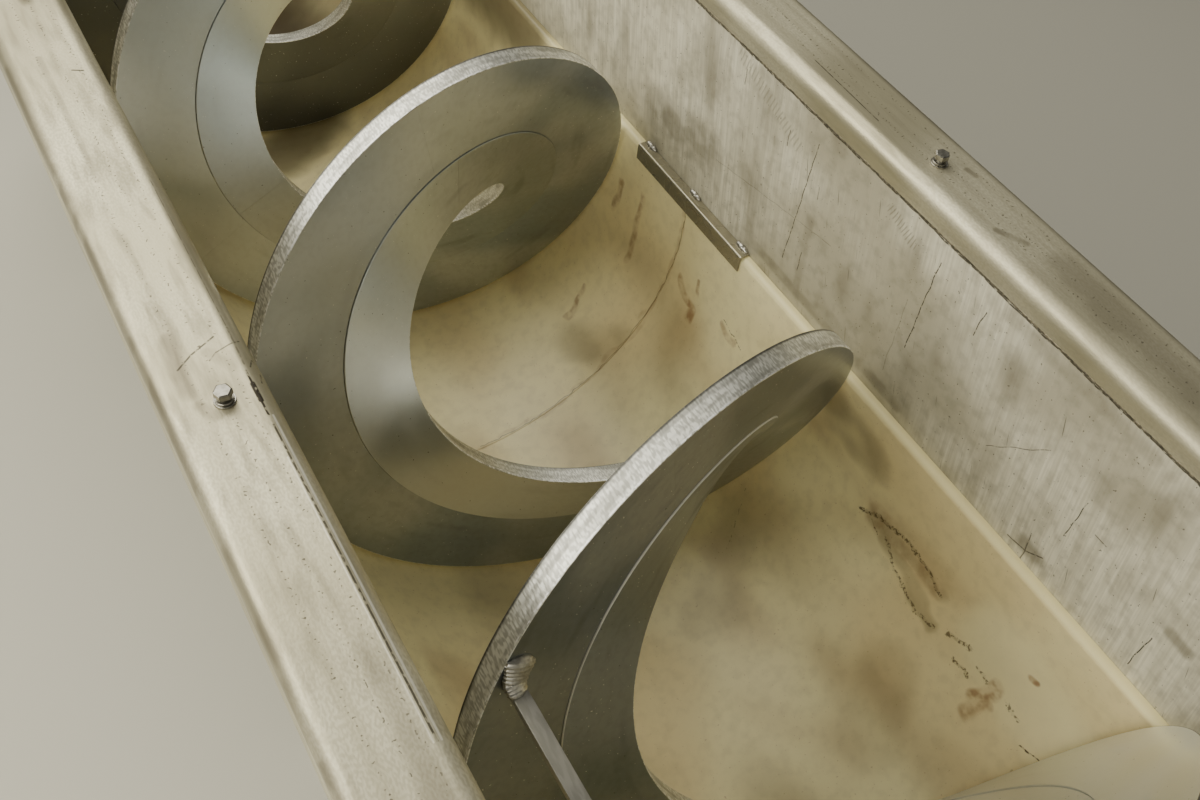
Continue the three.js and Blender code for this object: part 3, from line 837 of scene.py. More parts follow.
@dataclass(frozen=True)
class RolledBand:
    """Flat steel band rolled on edge into a spiral.

    It gives a grey mill face with smears and specks of spatter, turns painted lighter and darker by
    station as painted light and shade, and a rim that a hand grinder has dressed bright across its
    width, with a painted highlight at its front edge and painted shade at its back.
    """

    name: str
    rim_radius: float
    face: str = "#98A1A8"
    face_light: str = "#C0C4C4"
    smear: str = "#6A6B69"
    # painted shade colour
    soil: str = "#3A3B38"
    rim: str = "#F2F2EC"
    rim_dark: str = "#85847C"
    # painted highlight colour at the rim's front edge
    rim_edge: str = "#FFFFFF"
    seam: str = "#2B2A27"
    spatter: str = "#F0EFEA"
    # painted highlight colour on the inner band's proud corner
    bright: str = "#FFFDF0"
    # painted light: the lighter colour, and the spans of stations and amounts where turns are painted with it
    clean: str = "#F2F3EE"
    cleanness: float = 0.5
    near_clean: tuple[float, float] = (540.0, 640.0)
    far_clean: tuple[float, float] = (1370.0, 1540.0)
    glow: tuple[float, float, float, float] = (1080.0, 1150.0, 1190.0, 1280.0)
    glow_amount: float = 0.36
    # painted highlight: how bright, and over which stations, the proud corner is painted
    bright_edge: float = 0.0
    handled: tuple[float, float, float, float] = (650.0, 720.0, 900.0, 1030.0)
    # painted shade: spans of stations where turns are painted darker
    soiled: tuple[float, float, float, float] = (600.0, 690.0, 800.0, 1000.0)
    far_soiled: tuple[float, float] = (1640.0, 1790.0)

    def build(self) -> Material:
        """Draws up the material."""
        draft = Draft(self.name)
        wound = draft.add(Step.WOUND)
        radius, depth = draft.add(Step.Y, wound), draft.add(Step.Z, wound)
        station = draft.add(Step.Y, draft.place)
        way = 1.0 if self.rim_radius > SIZES.band_split else -1.0
        rim = draft.add(Step.RAMP, radius, self.rim_radius - way * 1.1, self.rim_radius - way * 0.4, 0.0, 1.0)
        clouds = draft.patches((110.0, 110.0, 110.0), 0.34, 0.66)
        smears = draft.patches((90.0, 26.0, 60.0), 0.54, 0.78, most=0.32, detail=2.0, shift=4.0, source=wound)
        mottle = draft.patches((7.0, 7.0, 7.0), 0.38, 0.72, most=0.13, shift=6.0)
        # weld spatter and grit are under a millimetre: drawn 1.8 mm across, so that they show
        spatter = draft.patches((1.8, 1.8, 1.8), 0.82, 0.86, most=0.8, detail=0.0, shift=12.0)
        grit = draft.patches((2.0, 2.0, 2.0), 0.84, 0.88, most=0.7, detail=0.0, shift=13.0)
        face = draft.coats(
            self.face,
            (self.face_light, clouds),
            (self.smear, smears),
            (self.smear, mottle),
            # painted light and painted shade, by station
            (self.clean, self.cleaned(draft, station)),
            (self.soil, self.soiling(draft, station)),
            (self.spatter, spatter),
            (self.seam, grit),
        )
        # the grinder's strokes lie 0.3 mm apart: drawn 1.3 mm apart, so that they show
        strokes = draft.patches((1.3, 20.0, 4.0), 0.26, 0.74, detail=0.0, shift=14.0, source=wound)
        dull = draft.patches((50.0, 50.0, 7.0), 0.42, 0.70, most=0.55, shift=18.0, source=wound)
        nicks = draft.patches((4.0, 20.0, 1.6), 0.46, 0.62, shift=16.0, source=wound)
        # painted highlight: a bright uneven line along the rim's front edge
        front = draft.add(Step.TIMES, draft.add(Step.RAMP, depth, 0.6, 3.4, 1.0, 0.0), nicks)
        # painted shade: a thin dark line at the back of the rim's width
        end = SIZES.band_thickness
        back = draft.add(Step.RAMP, depth, end - 3.0, end - 1.2, 0.0, 0.8)
        ground = draft.coats(
            self.rim,
            (self.rim_dark, draft.part(strokes, 0.5)),
            (self.rim_dark, dull),
            (self.rim_edge, front),
            (self.seam, back),
        )
        if self.bright_edge:
            # painted highlight: the proud corner is painted bright and less metallic over a span of stations
            worn = draft.window(station, self.handled, self.bright_edge)
            corner = draft.add(Step.RAMP, radius, SIZES.band_split - 1.2, SIZES.band_split - 0.6, 0.0, 1.0)
            corner = draft.add(Step.TIMES, corner, draft.add(Step.RAMP, depth, 0.0, 0.6, 1.0, 0.0))
            corner = draft.add(Step.TIMES, corner, worn)
            face = draft.coats(face, (self.bright, corner))
            draft.link(metallic=draft.part(corner, 0.0, 0.9))
        draft.link(base_color=draft.add(Step.BLEND, face, ground, rim))
        rough = draft.add(Step.RAMP, smears, 0.0, 0.5, 0.0, 0.12)
        rough = draft.add(Step.PLUS, draft.part(clouds, 0.40, 0.30), rough)
        draft.link(roughness=draft.add(Step.PLUS, rough, draft.part(rim, 0.12)))
        waves = draft.patches((90.0, 90.0, 90.0), 0.2, 0.8, detail=0.0, shift=20.0)
        draft.relief((waves, 0.25), (draft.add(Step.TIMES, strokes, rim), 0.06))
        return draft.settle(metallic=0.9)

    def cleaned(self, draft: Draft, station: Socket) -> Socket:
        """Painted light: where the turns are painted lighter, by their station."""
        near = draft.add(Step.RAMP, station, *self.near_clean, 0.75, 0.0)
        far = draft.add(Step.RAMP, station, *self.far_clean, 0.0, self.cleanness)
        glow = draft.window(station, self.glow, self.glow_amount)
        return draft.add(Step.LARGER, draft.add(Step.LARGER, near, far), glow)

    def soiling(self, draft: Draft, station: Socket) -> Socket:
        """Painted shade: where the turns are painted darker, by their station."""
        far = draft.add(Step.RAMP, station, *self.far_soiled, 0.0, 0.8)
        return draft.add(Step.LARGER, draft.window(station, self.soiled, 0.45), far)


@dataclass(frozen=True)
class BrightMetal:
    """Machined, plated or freshly welded metal: small parts that glint."""

    name: str
    tint: str = "#B8B6AE"
    shade: str = "#85827A"
    roughness: tuple[float, float] = (0.22, 0.4)
    grain: Point = (3.0, 3.0, 3.0)
    depth: float = 0.03
    metallic: float = 1.0

    def build(self) -> Material:
        """Draws up the material."""
        draft = Draft(self.name)
        grain = draft.patches(self.grain, 0.3, 0.7)
        clouds = draft.patches((25.0, 25.0, 25.0), 0.35, 0.65, shift=5.0)
        shades = ((self.shade, draft.part(grain, 0.6)), (self.shade, draft.part(clouds, 0.4)))
        rough = draft.add(Step.RAMP, clouds, 0.0, 1.0, *self.roughness)
        draft.link(base_color=draft.coats(self.tint, *shades), roughness=rough)
        draft.relief((grain, self.depth))
        return draft.settle(metallic=self.metallic)


@dataclass(frozen=True)
class MachinePaint:
    """Sprayed two-part machine enamel on castings: semi-matt, with a fine orange peel and dust."""

    name: str
    paint: str = "#4F5B66"
    dust: str = "#8C8C84"

    def build(self) -> Material:
        """Draws up the material."""
        draft = Draft(self.name)
        peel = draft.patches((3.0, 3.0, 3.0), 0.3, 0.7)
        dust = draft.patches((90.0, 90.0, 40.0), 0.45, 0.75, detail=4.0, shift=4.0)
        draft.link(
            base_color=draft.coats(self.paint, (self.dust, draft.part(dust, 0.3))),
            roughness=draft.part(dust, 0.62, 0.38),
        )
        draft.relief((peel, 0.04))
        return draft.settle(metallic=0.0, ior=1.5)


# Making pieces


def put_in(name: str, data: Any) -> bpy.types.Object:
    """Puts a mesh, light or camera into the scene as an object."""
    holder = bpy.data.objects.new(name, data)
    bpy.context.scene.collection.objects.link(holder)
    return holder


def verts_of(geometry: Iterable[Any]) -> list[BMVert]:
    """Picks the vertices out of an operator's result."""
    return [g for g in geometry if isinstance(g, BMVert)]


def bevel(bm: BMesh, geom: list[Any], width: float, segments: int, **settings: Any) -> None:
    """Rounds edges, or corners where it is told to."""
    settings = {"affect": "EDGES", **settings}
    bmesh.ops.bevel(bm, geom=geom, offset=width, segments=segments, profile=0.5, material=-1, **settings)


def rounded(bm: BMesh, width: float, segments: int = 2, above: float = 50.0) -> BMesh:
    """Rounds the sharp edges of a closed mesh.

    Args:
        bm: The mesh.
        width: The rounding's width in millimetres.
        segments: Steps in each rounding.
        above: Angle in degrees between two faces from which their edge is sharp.

    Returns:
        The same mesh.
    """
    bmesh.ops.remove_doubles(bm, verts=bm.verts, dist=0.005)
    sharp = [e for e in bm.edges if len(e.link_faces) == 2 and e.calc_face_angle(0.0) > math.radians(above)]
    bevel(bm, sharp, width, segments, clamp_overlap=True)
    return bm


def draw_out(bm: BMesh, distance: Point) -> None:
    """Draws a flat mesh out into a closed solid."""
    made = bmesh.ops.extrude_face_region(bm, geom=list(bm.faces), use_keep_orig=True)["geom"]
    bmesh.ops.translate(bm, vec=distance, verts=verts_of(made))
    bmesh.ops.recalc_face_normals(bm, faces=list(bm.faces))


def block(low: Point, high: Point) -> BMesh:
    """A box between two corners."""
    bm = bmesh.new()
    size = Vector(high) - Vector(low)
    middle = (Vector(high) + Vector(low)) / 2
    bmesh.ops.create_cube(bm, size=1.0, matrix=Matrix.Translation(middle) @ Matrix.Diagonal((*size, 1.0)))
    return bm


def turned(profile: Sequence[tuple[float, float]], segments: int = 64) -> BMesh:
    """Turns a profile of radius and station round the screw's axis.

    Args:
        profile: Points from one end to the other; a closed profile repeats its first point.
        segments: Sides of the turned body.

    Returns:
        The closed mesh.
    """
    bm = bmesh.new()
    verts = [bm.verts.new((radius, station, 0.0)) for radius, station in profile]
    edges = [bm.edges.new(pair) for pair in zip(verts, verts[1:])]
    bmesh.ops.spin(bm, geom=edges, axis=(0, 1, 0), angle=math.tau, steps=segments, use_merge=True)
    bmesh.ops.remove_doubles(bm, verts=bm.verts, dist=0.005)
    bmesh.ops.recalc_face_normals(bm, faces=list(bm.faces))
    return bm


def facing(axis: Sequence[float]) -> Matrix:
    """The turn that brings +z onto an axis."""
    return Vector(axis).normalized().to_track_quat("Z", "Y").to_matrix().to_4x4()


def spun(bm: BMesh, angle: float) -> BMesh:
    """Turns a mesh about the screw's axis, by an angle in radians."""
    bmesh.ops.rotate(bm, cent=(0, 0, 0), matrix=Matrix.Rotation(angle, 3, "Y"), verts=bm.verts)
    return bm


def cornered(profile: Sequence[tuple[float, ...]], edge: float) -> list[tuple[float, float]]:
    """Cuts the corners that are marked off a profile.

    Args:
        profile: Radius and station of each corner, and True where it is cut.
        edge: How much of each side the cut takes.

    Returns:
        The profile, ready to be turned.
    """
    points = [Vector(corner[:2]) for corner in profile]
    line = []
    for i, (corner, point) in enumerate(zip(profile, points)):
        if len(corner) > 2:
            beside = (points[i - 1], points[i + 1])
            line += [tuple(point + (other - point).normalized() * edge) for other in beside]
        else:
            line.append(tuple(point))
    return line


def rod(centre: Point, axis: Point, radius: float, length: float, sides: int = 32) -> BMesh:
    """A round or many-sided rod that starts at a point and runs along an axis."""
    bm = bmesh.new()
    placed = Matrix.Translation(Vector(centre) + Vector(axis).normalized() * length / 2) @ facing(axis)
    bmesh.ops.create_cone(
        bm, cap_ends=True, segments=sides, radius1=radius, radius2=radius, depth=length, matrix=placed
    )
    return bm


def merge_into(target: BMesh, *others: BMesh) -> BMesh:
    """Adds other meshes to one, and frees them."""
    for other in others:
        scrap = bpy.data.meshes.new("scrap")
        other.to_mesh(scrap)
        other.free()
        target.from_mesh(scrap)
        bpy.data.meshes.remove(scrap)
    return target


def joined(parts: Iterable[BMesh]) -> BMesh:
    """Puts several meshes into a new one."""
    return merge_into(bmesh.new(), *parts)


def cut(target: BMesh, *cutters: BMesh) -> BMesh:
    """Cuts closed meshes out of a closed mesh.

    Args:
        target: The mesh that is cut; it is freed.
        *cutters: What is taken away; they are freed too.

    Returns:
        The cut mesh.
    """
    objects = []
    for bm in (target, joined(cutters)):
        bmesh.ops.recalc_face_normals(bm, faces=list(bm.faces))
        mesh = bpy.data.meshes.new("blank")
        bm.to_mesh(mesh)
        bm.free()
        objects.append(put_in("blank", mesh))
    stock, tool = objects
    boolean = stock.modifiers.new("cut", "BOOLEAN")
    boolean.operation = "DIFFERENCE"
    boolean.solver = "EXACT"
    boolean.object = tool
    bpy.context.view_layer.update()
    result = bmesh.new()
    result.from_object(stock, bpy.context.evaluated_depsgraph_get())
    for done in objects:
        mesh = done.data
        bpy.data.objects.remove(done)
        bpy.data.meshes.remove(mesh)
    bmesh.ops.dissolve_degenerate(result, edges=list(result.edges), dist=0.001)
    return result


def finish_piece(
    name: str,
    bm: BMesh,
    material: Material,
    body: Body = Body.FRAME,
    nodes: Sequence[str] = (),
    smooth: float = 40.0,
) -> bpy.types.Object:
    """Makes a finished piece from a mesh in the conveyor's own axes.

    Args:
        name: The piece's name.
        bm: Its mesh in millimetres; it is freed.
        material: Its finish.
        body: The body that it rides on.
        nodes: The nodes that it stands for.
        smooth: Angle in degrees up to which neighbouring faces are shaded as one.

    Returns:
        The piece.
    """
    bmesh.ops.remove_doubles(bm, verts=bm.verts, dist=0.002)
    bmesh.ops.recalc_face_normals(bm, faces=list(bm.faces))
    bmesh.ops.transform(bm, matrix=DATUM.matrix, verts=bm.verts)
    mesh = bpy.data.meshes.new(name)
    bm.to_mesh(mesh)
    bm.free()
    mesh.materials.append(material)
    mesh.shade_smooth()
    mesh.set_sharp_from_angle(angle=math.radians(smooth))
    piece = put_in(name, mesh)
    weighted = piece.modifiers.new("weighted_normals", "WEIGHTED_NORMAL")
    weighted.keep_sharp = True
    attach(piece, body.value)
    if nodes:
        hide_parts(*nodes)
    log.info("%s: %d faces on %s", name, len(mesh.polygons), body.value)
    return piece


def fasten(name: str, parts: Iterable[BMesh], zinc: Material, body: Body = Body.FRAME) -> None:
    """Makes one piece of bolts, screws or other small zinc-plated parts."""
    finish_piece(name, joined(parts), zinc, body, smooth=30.0)


class FoldedSheet:
    """A sheet folded across its length: its thickness is led along flats and round bends."""

    def __init__(self, face: tuple[float, float], back: tuple[float, float]) -> None:
        """Starts at the sheet's edge.

        Args:
            face: x and z of the edge's corner on one face.
            back: x and z of its corner on the other face.
        """
        self.bm = bmesh.new()
        corners = [self.bm.verts.new((x, 0.0, z)) for x, z in (face, back)]
        self.edge: BMEdge = self.bm.edges.new(corners)

    def flat(self, across: float, up: float) -> "FoldedSheet":
        """Leads the sheet on along a flat."""
        made = bmesh.ops.extrude_edge_only(self.bm, edges=[self.edge])["geom"]
        moved = set(verts_of(made))
        bmesh.ops.translate(self.bm, vec=(across, 0.0, up), verts=list(moved))
        self.edge = next(g for g in made if isinstance(g, BMEdge) and moved.issuperset(g.verts))
        return self

    def bend(self, centre: tuple[float, float], degrees: float, step: float = 7.5) -> "FoldedSheet":
        """Leads the sheet round a bend; positive degrees turn from up towards +x."""
        last = bmesh.ops.spin(
            self.bm,
            geom=[self.edge],
            cent=(centre[0], 0.0, centre[1]),
            axis=(0, 1, 0),
            angle=math.radians(degrees),
            steps=max(2, round(abs(degrees) / step)),
        )["geom_last"]
        self.edge = next(g for g in last if isinstance(g, BMEdge))
        return self

    def cut_off(self, start: float, end: float) -> BMesh:
        """Draws the folded section out between two stations."""
        bmesh.ops.translate(self.bm, vec=(0.0, start, 0.0), verts=self.bm.verts)
        draw_out(self.bm, (0.0, end - start, 0.0))
        return self.bm


def part_lengthwise(bm: BMesh, axis: int, steps: int) -> None:
    """Parts a straight body of length 1 along an axis into even steps, ready to be bent."""
    lengthwise = [e for e in bm.edges if abs(e.verts[0].co[axis] - e.verts[1].co[axis]) > 0.5]
    bmesh.ops.subdivide_edges(bm, edges=lengthwise, cuts=steps - 1)


def weld_run(
    path: Sequence[tuple[Point, Point]],
    width: float,
    height: float,
    ripple: float = 3.0,
    wave: float = 0.1,
    spread: float = 1.0,
    taper_length: float | None = None,
) -> BMesh:
    """A weld bead along a path: a low rounded ridge with ripples and closed, tapered ends.

    Args:
        path: Points on the seam, each with the direction in which the bead stands proud there.
        width: The bead's width.
        height: Its height above the seam.
        ripple: Distance from ripple to ripple.
        wave: Height of the ripples as a part of the bead's.
        spread: The width at its end as a multiple of that at its start.
        taper_length: Length over which each end tapers; the width if it isn't given.

    Returns:
        The closed mesh.
    """
    points = [Vector(point) for point, _ in path]
    ups = [Vector(up).normalized() for _, up in path]
    stops = [0.0]
    for first, last in zip(points, points[1:]):
        stops.append(stops[-1] + (last - first).length)
    length = stops[-1]
    steps = max(6, round(length / ripple * 3))
    rings = []
    leg = 0
    for step in range(steps + 1):
        done = length * step / steps
        while leg < len(points) - 2 and stops[leg + 1] < done:
            leg += 1
        part = (done - stops[leg]) / (stops[leg + 1] - stops[leg])
        along = (points[leg + 1] - points[leg]).normalized()
        across = along.cross(ups[leg].lerp(ups[leg + 1], part)).normalized()
        taper = 0.2 + 0.8 * math.sqrt(min(1.0, min(done, length - done) / (taper_length or width)))
        swell = taper * (
            1 + wave * math.cos(math.tau * done / ripple) + wave / 2 * math.sin(done / ripple * 1.7)
        )
        wide = 1 + (spread - 1) * done / length
        size = Matrix.Diagonal((width / 2 * wide * swell, height * swell, 1.0, 1.0))
        turn = Matrix((across, across.cross(along), along)).transposed().to_4x4()
        rings.append(Matrix.Translation(points[leg].lerp(points[leg + 1], part)) @ turn @ size)
    bm = bmesh.new()
    bmesh.ops.create_cone(bm, cap_ends=True, segments=10, radius1=1.0, radius2=1.0, depth=1.0)
    part_lengthwise(bm, 2, steps)
    for vert in bm.verts:
        vert.co = rings[round((vert.co.z + 0.5) * steps)] @ Vector((vert.co.x, vert.co.y, 0.0))
    return bm


# width, height and ripple of a hand-laid fillet between plates
FILLET = (8.0, 4.0, 5.0)


def weld_bead(start: Point, end: Point, up: Point, width: float, height: float, ripple: float = 3.0) -> BMesh:
    """A straight weld bead between two points of a seam, proud in one direction."""
    return weld_run([(start, up), (end, up)], width, height, ripple)


def arc_path(
    radius: float, station: float, start: float, end: float, lean: float
) -> list[tuple[Point, Point]]:
    """Points of a seam on a circle round the screw's axis, with the way its bead stands proud.

    Args:
        radius: The circle's radius.
        station: Its station.
        start: Angle of the first point in degrees, from +x towards +z.
        end: Angle of the last point.
        lean: How far the bead leans along the trough.

    Returns:
        The path, ready for a weld run.
    """
    steps = max(1, round(abs(end - start) / 3))
    path = []
    for step in range(steps + 1):
        angle = math.radians(start + (end - start) * step / steps)
        x, z = math.cos(angle), math.sin(angle)
        path.append(((radius * x, station, radius * z), (x, lean, z)))
    return path


def around(count: int, radius: float, station: float, start: float = 0.0) -> list[Point]:
    """Even places on a circle round the screw's axis, from an angle in degrees."""
    angles = [math.radians(start + 360 * i / count) for i in range(count)]
    return [(radius * math.cos(a), station, radius * math.sin(a)) for a in angles]


@dataclass(frozen=True)
class HexBolt:
    """A hex-head bolt on a spring washer and a flat washer."""

    across_corners: float = 12.6
    head: float = 4.8
    shank: float = 6.0
    shown_shank: float = 2.8
    washer: float = 14.8
    washer_thickness: float = 1.5
    spring_washer: float = 12.6
    spring_thickness: float = 1.8
    grip: float = 0.0

    @classmethod
    def metric(cls, size: float, grip: float = 0.0) -> "HexBolt":
        """A bolt that is drawn up tight, from its thread size."""
        return cls(
            across_corners=1.85 * size,
            head=0.64 * size,
            shank=size,
            shown_shank=0.0,
            washer=2.0 * size,
            washer_thickness=0.2 * size,
            spring_washer=1.7 * size,
            spring_thickness=0.22 * size,
            grip=grip,
        )

    def hexagon(self, low: float, high: float) -> BMesh:
        """A hexagon between two levels, with its upper corners turned round."""
        radius = self.across_corners / 2
        head = rod((0, 0, low), (0, 0, 1), radius, high - low, 6)
        top = [f for f in head.faces if f.normal.z > 0.9]
        bmesh.ops.inset_region(head, faces=top, thickness=0.08 * self.across_corners, depth=0.0)
        rim = [v for v in head.verts if v.co.z > (low + high) / 2 and v.co.xy.length > 0.95 * radius]
        bmesh.ops.translate(head, vec=(0, 0, -0.05 * self.across_corners), verts=rim)
        return head

    def at(self, seat: Point, axis: Point = (0.0, 0.0, 1.0), turn: float = 0.0) -> BMesh:
        """Makes the bolt.

        Args:
            seat: The middle of the flat washer's underside.
            axis: The direction in which the head stands proud.
            turn: The head's turn about its axis in radians.

        Returns:
            The closed meshes of the bolt and its washers as one.
        """
        level = 0.05
        washer = rod((0, 0, level), (0, 0, 1), self.washer / 2, self.washer_thickness, 24)
        rounded(washer, 0.15 * self.washer_thickness, 1)
        level += self.washer_thickness
        spring = rod((0, 0, level), (0, 0, 1), self.spring_washer / 2, self.spring_thickness, 24)
        rounded(spring, 0.18 * self.spring_thickness, 1)
        level += self.spring_thickness
        parts = [washer, spring]
        if self.shown_shank:
            parts.append(rod((0, 0, level), (0, 0, 1), self.shank / 2, self.shown_shank + 0.2, 16))
            level += self.shown_shank
        parts.append(self.hexagon(level, level + self.head))
        if self.grip:
            end = -self.grip - 1.5 * self.shank
            parts.append(rod((0, 0, end), (0, 0, 1), self.shank / 2, -self.grip - end, 16))
            nut = self.hexagon(0.0, 0.8 * self.shank)
            flip = Matrix.Translation((0.0, 0.0, -self.grip)) @ Matrix.Rotation(math.pi, 4, "X")
            bmesh.ops.transform(nut, matrix=flip, verts=nut.verts)
            parts.append(nut)
        whole = joined(parts)
        placed = Matrix.Translation(seat) @ facing(axis) @ Matrix.Rotation(turn, 4, "Z")
        bmesh.ops.transform(whole, matrix=placed, verts=whole.verts)
        return whole

    def row(self, seats: Iterable[Point], axis: Point, twist: float) -> list[BMesh]:
        """A bolt on each seat, each turned a twist further than the one before."""
        return [self.at(seat, axis, twist * i) for i, seat in enumerate(seats)]


def ring(centre: Point, axis: Point, radius: float, wire: float, segments: int = 48) -> BMesh:
    """A closed ring of round wire.

    Args:
        centre: The ring's middle.
        axis: The direction that it goes round.
        radius: From the middle to the wire's centre.
        wire: The wire's radius.
        segments: Steps round the ring.

    Returns:
        The closed mesh.
    """
    bm = bmesh.new()
    flat = Matrix.Translation((radius, 0.0, 0.0)) @ Matrix.Rotation(math.pi / 2, 4, "X")
    bmesh.ops.create_circle(bm, cap_ends=False, segments=8, radius=wire, matrix=flat)
    bmesh.ops.spin(bm, geom=bm.edges[:], axis=(0, 0, 1), angle=math.tau, steps=segments, use_merge=True)
    bmesh.ops.transform(bm, matrix=Matrix.Translation(centre) @ facing(axis), verts=bm.verts)
    bmesh.ops.remove_doubles(bm, verts=bm.verts, dist=0.005)
    bmesh.ops.recalc_face_normals(bm, faces=bm.faces[:])
    return bm


def upright_corners(bm: BMesh, width: float, axis: int = 2, segments: int = 4) -> BMesh:
    """Rounds only the edges that run along one axis, as a plate's corners are."""
    edges = [e for e in bm.edges if abs((e.verts[0].co - e.verts[1].co).normalized()[axis]) > 0.99]
    bevel(bm, edges, width, segments, clamp_overlap=True)
    return bm


def u_plate(start: float, end: float, radius: float, top: float) -> BMesh:
    """A flat plate with a half round bottom and straight sides, across the trough.

    Args:
        start: Station of one face.
        end: Station of the other.
        radius: The round's radius, also half the plate's width.
        top: Height of its top edge.

    Returns:
        The closed mesh.
    """
    bm = bmesh.new()
    corners = [bm.verts.new((x, start, z)) for x, z in ((radius, top), (radius, 0.0), (-radius, top))]
    bm.edges.new(corners[:2])
    last = bmesh.ops.spin(bm, geom=[corners[1]], axis=(0, 1, 0), angle=math.pi, steps=72)["geom_last"]
    bm.edges.new((verts_of(last)[0], corners[2]))
    bm.edges.new((corners[2], corners[0]))
    bmesh.ops.contextual_create(bm, geom=bm.edges[:])
    draw_out(bm, (0.0, end - start, 0.0))
    return bm


def u_path(radius: float, station: float, top: float, lean: float) -> list[tuple[Point, Point]]:
    """The seam round the trough's outside at a station, from one top edge to the other."""
    side = [((radius, station, top), (1.0, lean, 0.0))]
    other = [((-radius, station, top), (-1.0, lean, 0.0))]
    return side + arc_path(radius, station, 0.0, -180.0, lean) + other


# Sub-assemblies


@dataclass
class Trough:
    """The U-shaped trough of bent plate, in two lengths, with the hole over the outlet."""

    finish: Material
    weld: Material
    split: float = 2040.0
    outlet_start: float = 2108.0
    outlet_half_width: float = 200.0

    def section(self) -> FoldedSheet:
        """The trough's wall, led from the right top edge round to the left."""
        inner, outer = SIZES.half_width, SIZES.half_width + SIZES.plate
        sheet = FoldedSheet((inner, SIZES.seam_height), (outer, SIZES.seam_height))
        return sheet.flat(0.0, -SIZES.seam_height).bend((0.0, 0.0), 180.0, 3.0).flat(0.0, SIZES.seam_height)

    def notch(self) -> BMesh:
        """The space over the outlet, as a block."""
        reach = 2 * SIZES.half_width
        return block(
            (-self.outlet_half_width, self.outlet_start, -reach),
            (self.outlet_half_width, SIZES.length + SIZES.plate, 0.0),
        )

    def build(self) -> None:
        """Makes both lengths."""
        main = self.section().cut_off(0.0, self.split)
        finish_piece("trough_plate_formed", main, self.finish, nodes=["trough_plate"])
        outlet = cut(self.section().cut_off(self.split + SIZES.gap, SIZES.length), self.notch())
        finish_piece(
            "outlet_trough_plate_formed", outlet, self.finish, nodes=["outlet_trough_plate"]
        )
        finish_piece("trough_joint_weld", self.joint_weld(), self.weld)

    def joint_weld(self) -> BMesh:
        """The ground-down bead round the outside where the two lengths meet, and up the inside."""
        outside = SIZES.half_width + SIZES.plate - 0.2
        inside = SIZES.half_width + 0.2
        low, high = SIZES.liner_top + 3.0, SIZES.seam_height - 3.0
        beads = [weld_run(u_path(outside, self.split, high, 0.0), 7.0, 1.6, 5.0)]
        for way in (1, -1):
            seam = [(way * inside, self.split, z) for z in (low, high)]
            beads.append(weld_bead(*seam, (-way, 0.0, 0.0), 5.0, 0.9, 5.0))
        return joined(beads)


@dataclass
class Rails:
    """The formed channels on the trough's walls, with the cover bolts along them."""

    finishes: dict[Side, Material]
    seam_finish: Material
    zinc: Material
    bend: float = 13.0
    lip_bend: float = 12.0
    lip: float = 45.0
    bolt_offset: float = 30.4
    first_bolt: tuple[float, float] = (438.4, 459.6)
    bolt_spacing: float = 500.0
    bolts: int = 4
    bolt: HexBolt = field(default_factory=HexBolt)

    def section(self, side: Side) -> FoldedSheet:
        """One rail's wall, led from the seam over the top to the lip's end."""
        way = side.value
        inner, top = SIZES.half_width, SIZES.rail_top
        start = SIZES.seam_height + SIZES.gap
        outer = inner + SIZES.rail_width
        sheet = FoldedSheet((way * inner, start), (way * (inner + SIZES.plate), start))
        sheet.flat(0.0, top - self.bend - start)
        sheet.bend((way * (inner + self.bend), top - self.bend), way * 90.0)
        sheet.flat(way * (outer - self.lip_bend - inner - self.bend), 0.0)
        sheet.bend((way * (outer - self.lip_bend), top - self.lip_bend), way * 90.0)
        return sheet.flat(0.0, -(self.lip - self.lip_bend))

    def seam(self, side: Side) -> BMesh:
        """The dark rough line where the rail is welded to the wall."""
        x = side.value * (SIZES.half_width + 0.4)
        return weld_bead(
            (x, 1.0, SIZES.seam_height + 0.6),
            (x, SIZES.length - 1.0, SIZES.seam_height + 0.6),
            (-side.value, 0.0, 0.0),
            2.4,
            0.8,
            ripple=5.0,
        )

    def build(self) -> None:
        """Makes both rails, their seams and their bolts."""
        for side, first in zip((Side.RIGHT, Side.LEFT), self.first_bolt):
            name = f"{side.word}_rail"
            bm = self.section(side).cut_off(0.0, SIZES.length)
            finish_piece(f"{name}_formed", bm, self.finishes[side], nodes=[name])
            finish_piece(f"{name}_seam", self.seam(side), self.seam_finish)
            x = side.value * (SIZES.half_width + self.bolt_offset)
            bolts = [
                self.bolt.at((x, first + i * self.bolt_spacing, SIZES.rail_top), turn=0.4 + i)
                for i in range(self.bolts)
            ]
            fasten(f"{name}_bolts", bolts, self.zinc)


